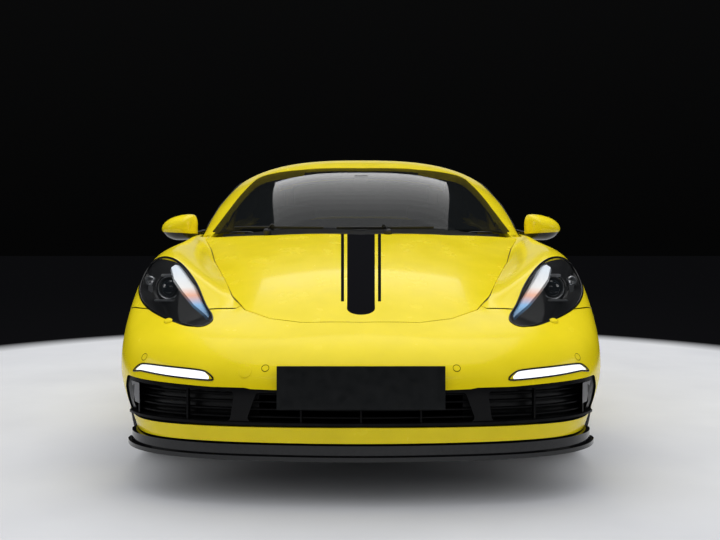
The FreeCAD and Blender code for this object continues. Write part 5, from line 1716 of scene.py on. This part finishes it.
def make_console():
    """The gear lever and its boot, a padded lid, switches, pedals and the inner mirror."""
    turned("gear_boot", [(0.052, 0.0), (0.046, 0.010), (0.030, 0.034), (0.016, 0.058),
                         (0.012, 0.062), (0.0, 0.062)], at(0, 1930, 469), (0, -0.12, 1),
           "root", "leather", hide, steps=32)
    turned("gear_knob", [(0.008, 0.0), (0.009, 0.022), (0.020, 0.034), (0.024, 0.052),
                         (0.020, 0.070), (0.010, 0.077), (0.0, 0.078)], at(0, 1923, 530),
           (0, -0.12, 1), "root", "leather", satin_metal, hide, steps=32,
           bands=[0, 0, 1, 1, 1, 1])
    switches = block_mesh("switch_unit", [[(x, y, z) for x, y in ((-0.009, -0.006),
                                                                  (0.009, -0.006),
                                                                  (0.009, 0.006),
                                                                  (-0.009, 0.006))]
                                          for z in (0.0, 0.004)], 0.001)
    repeated("console_switches", switches, ROW, "root", "leather", screen_black, count=7,
             start=at(-72, 1800, 470), step=Vector((0.024, 0, 0)))
    lid = rounded_outline([(92, 2120), (92, 2230), (80, 2335), (0, 2346), (-80, 2335),
                           (-92, 2230), (-92, 2120), (0, 2112)], 4, 0.35)
    rest = plate("arm_rest", [at(x, s, 470.5) for x, s in lid], Vector((0, 0, 0.034)), "root",
                 "leather", hide, bevel=0.012)
    bars = block_mesh("pedal_rib", [[(x, y, z) for y, z in ((0, 0), (0.003, 0), (0.003, 0.006),
                                                            (0, 0.006))]
                                    for x in (-0.022, 0.022)])
    for k, (x, z) in enumerate(((270, 262), (345, 280), (415, 280))):
        face = [at(x + a, 1452 + (z + b - 260) * -0.3, z + b) for a, b in
                ((-26, -34), (26, -34), (29, -28), (29, 28), (26, 34), (-26, 34), (-29, 28),
                 (-29, -28))]
        plate("pedal_%d" % k, face, Vector((0, 0.006, 0.002)), "root", "leather",
              satin_metal, bevel=0.0015)
        repeated("pedal_ribs_%d" % k, bars, ROW, "root", "leather", rubber, count=5,
                 start=at(x, 1458 + (z - 286) * -0.3 + 4, z - 26),
                 step=Vector((0, -0.0033, 0.011)))
        tube("pedal_arm_%d" % k, [at(x, 1450, z), at(x, 1405, z + 60), at(x, 1370, z + 150),
                                  at(x, 1352, z + 300)], 0.007, "root", "leather",
             black_plastic)
    foot, normal = over_nose(0, 1905, "canopy")
    mount = [foot + Vector((a, b, -0.008)) for a, b in ((-0.036, -0.02), (0.036, -0.02),
                                                        (0.030, 0.03), (-0.030, 0.03))]
    plate("mirror_mount", mount, Vector((0, 0.012, -0.036)), "root", "leather", soft_trim,
          bevel=0.003)
    centre = foot + Vector((0, 0.045, -0.066))
    outline = rounded_outline([(0.118, 0.0), (0.108, 0.026), (0, 0.033), (-0.108, 0.026),
                               (-0.118, 0.0), (-0.108, -0.026), (0, -0.031), (0.108, -0.026)],
                              4)
    plate("inner_mirror_shell", [centre + Vector((a, 0, b)) for a, b in outline],
          Vector((0, 0.020, -0.003)), "root", "leather", soft_trim, bevel=0.004)
    plate("inner_mirror_glass", [centre + Vector((0.95 * a, 0.0205, 0.93 * b - 0.003))
                                 for a, b in outline],
          Vector((0, 0.0015, 0)), "root", "leather", mirror_glass)


make_seats()
make_bolsters()
make_dials()
make_steering_wheel()
make_console()
dress("dashboard", soft_trim)


# Floor and light

PALE_REACH, DARK_REACH = 3.15, 3.55
floor_material, floor_place = finish("floor", (0.70, 0.70, 0.71), 0.7, specular_ior_level=0.0)
x, y, _ = floor_place.parts()
distance = (x * x + y * y).root().spread(PALE_REACH, DARK_REACH)
cloud = floor_place.noise(1.5, 4.0).spread(0.3, 0.7)
pale = cloud.mix((0.62, 0.62, 0.635, 1.0), (0.68, 0.68, 0.69, 1.0))
feed(floor_material, "Base Color", distance.mix(pale, (0.004, 0.004, 0.0045, 1.0)))
bpy.ops.mesh.primitive_plane_add(size=60, location=(0, 0, 0))
floor = bpy.context.object
floor.name = "floor"
floor.data.materials.append(floor_material)

# The world lights the object at SKY_LIGHT and shows itself at SKY_SEEN
SKY_LIGHT, SKY_SEEN = 1.02, 0.006
world = bpy.data.worlds.new("world")
world.use_nodes = True
bpy.context.scene.world = world
sky = Wire(world.node_tree)
background = world.node_tree.nodes["Background"]
rays = sky.node("ShaderNodeLightPath")
outputs = rays.socket.node.outputs
plainly_seen = Wire(world.node_tree, outputs["Is Camera Ray"])
for kind in ("Is Glossy Ray", "Is Transmission Ray"):
    plainly_seen = plainly_seen.larger(Wire(world.node_tree, outputs[kind]))
brightness = plainly_seen.spread(0.0, 1.0, SKY_LIGHT, SKY_SEEN)
height = sky.node("ShaderNodeTexCoord").parts()[2].spread(0.0, 0.7, 0.25, 1.0)
strength = brightness * height
world.node_tree.links.new(strength.socket, background.inputs["Strength"])
background.inputs["Color"].default_value = (0.95, 0.97, 1.0, 1.0)


def soft_light(name, place, target, size, power):
    """A rectangular lamp at a place, turned to a target."""
    data = bpy.data.lights.new(name, "AREA")
    data.shape = "RECTANGLE"
    data.size, data.size_y = size
    data.energy = power
    lamp = bpy.data.objects.new(name, data)
    lamp.location = place
    heading = Vector(target) - Vector(place)
    lamp.rotation_euler = heading.to_track_quat("-Z", "Y").to_euler()
    bpy.context.scene.collection.objects.link(lamp)


soft_light("light_top", (0, -0.9, 4.4), (0, -0.6, 0), (3.2, 5.0), 60)
soft_light("light_front", (0, -8.0, 2.9), (0, -1.6, 0.4), (5.0, 1.2), 8)
soft_light("light_left", (5.2, -3.4, 2.3), (0, -0.9, 0.5), (2.6, 1.8), 22)
soft_light("light_right", (-5.2, -3.4, 2.3), (0, -0.9, 0.5), (2.6, 1.8), 22)
soft_light("light_back", (0, 7.0, 3.0), (0, 1.0, 0.6), (5.0, 1.6), 10)

# A ceiling of strips that grow brighter away from the nose, for the windscreen's reflection
CEILING_STRIPS, CEILING_START, CEILING_REACH = 20, 1.15, 2.79
CEILING_WIDTH, CEILING_HEIGHT = 3.2, 4.4
for k in range(CEILING_STRIPS):
    share = (k + 0.5) / CEILING_STRIPS
    y = CEILING_START + CEILING_REACH * share
    soft_light("light_ceiling_%d" % k, (0, y, CEILING_HEIGHT), (0, y, 0),
               (CEILING_WIDTH, CEILING_REACH / CEILING_STRIPS), 0.14 + 2.9 * share ** 1.4)
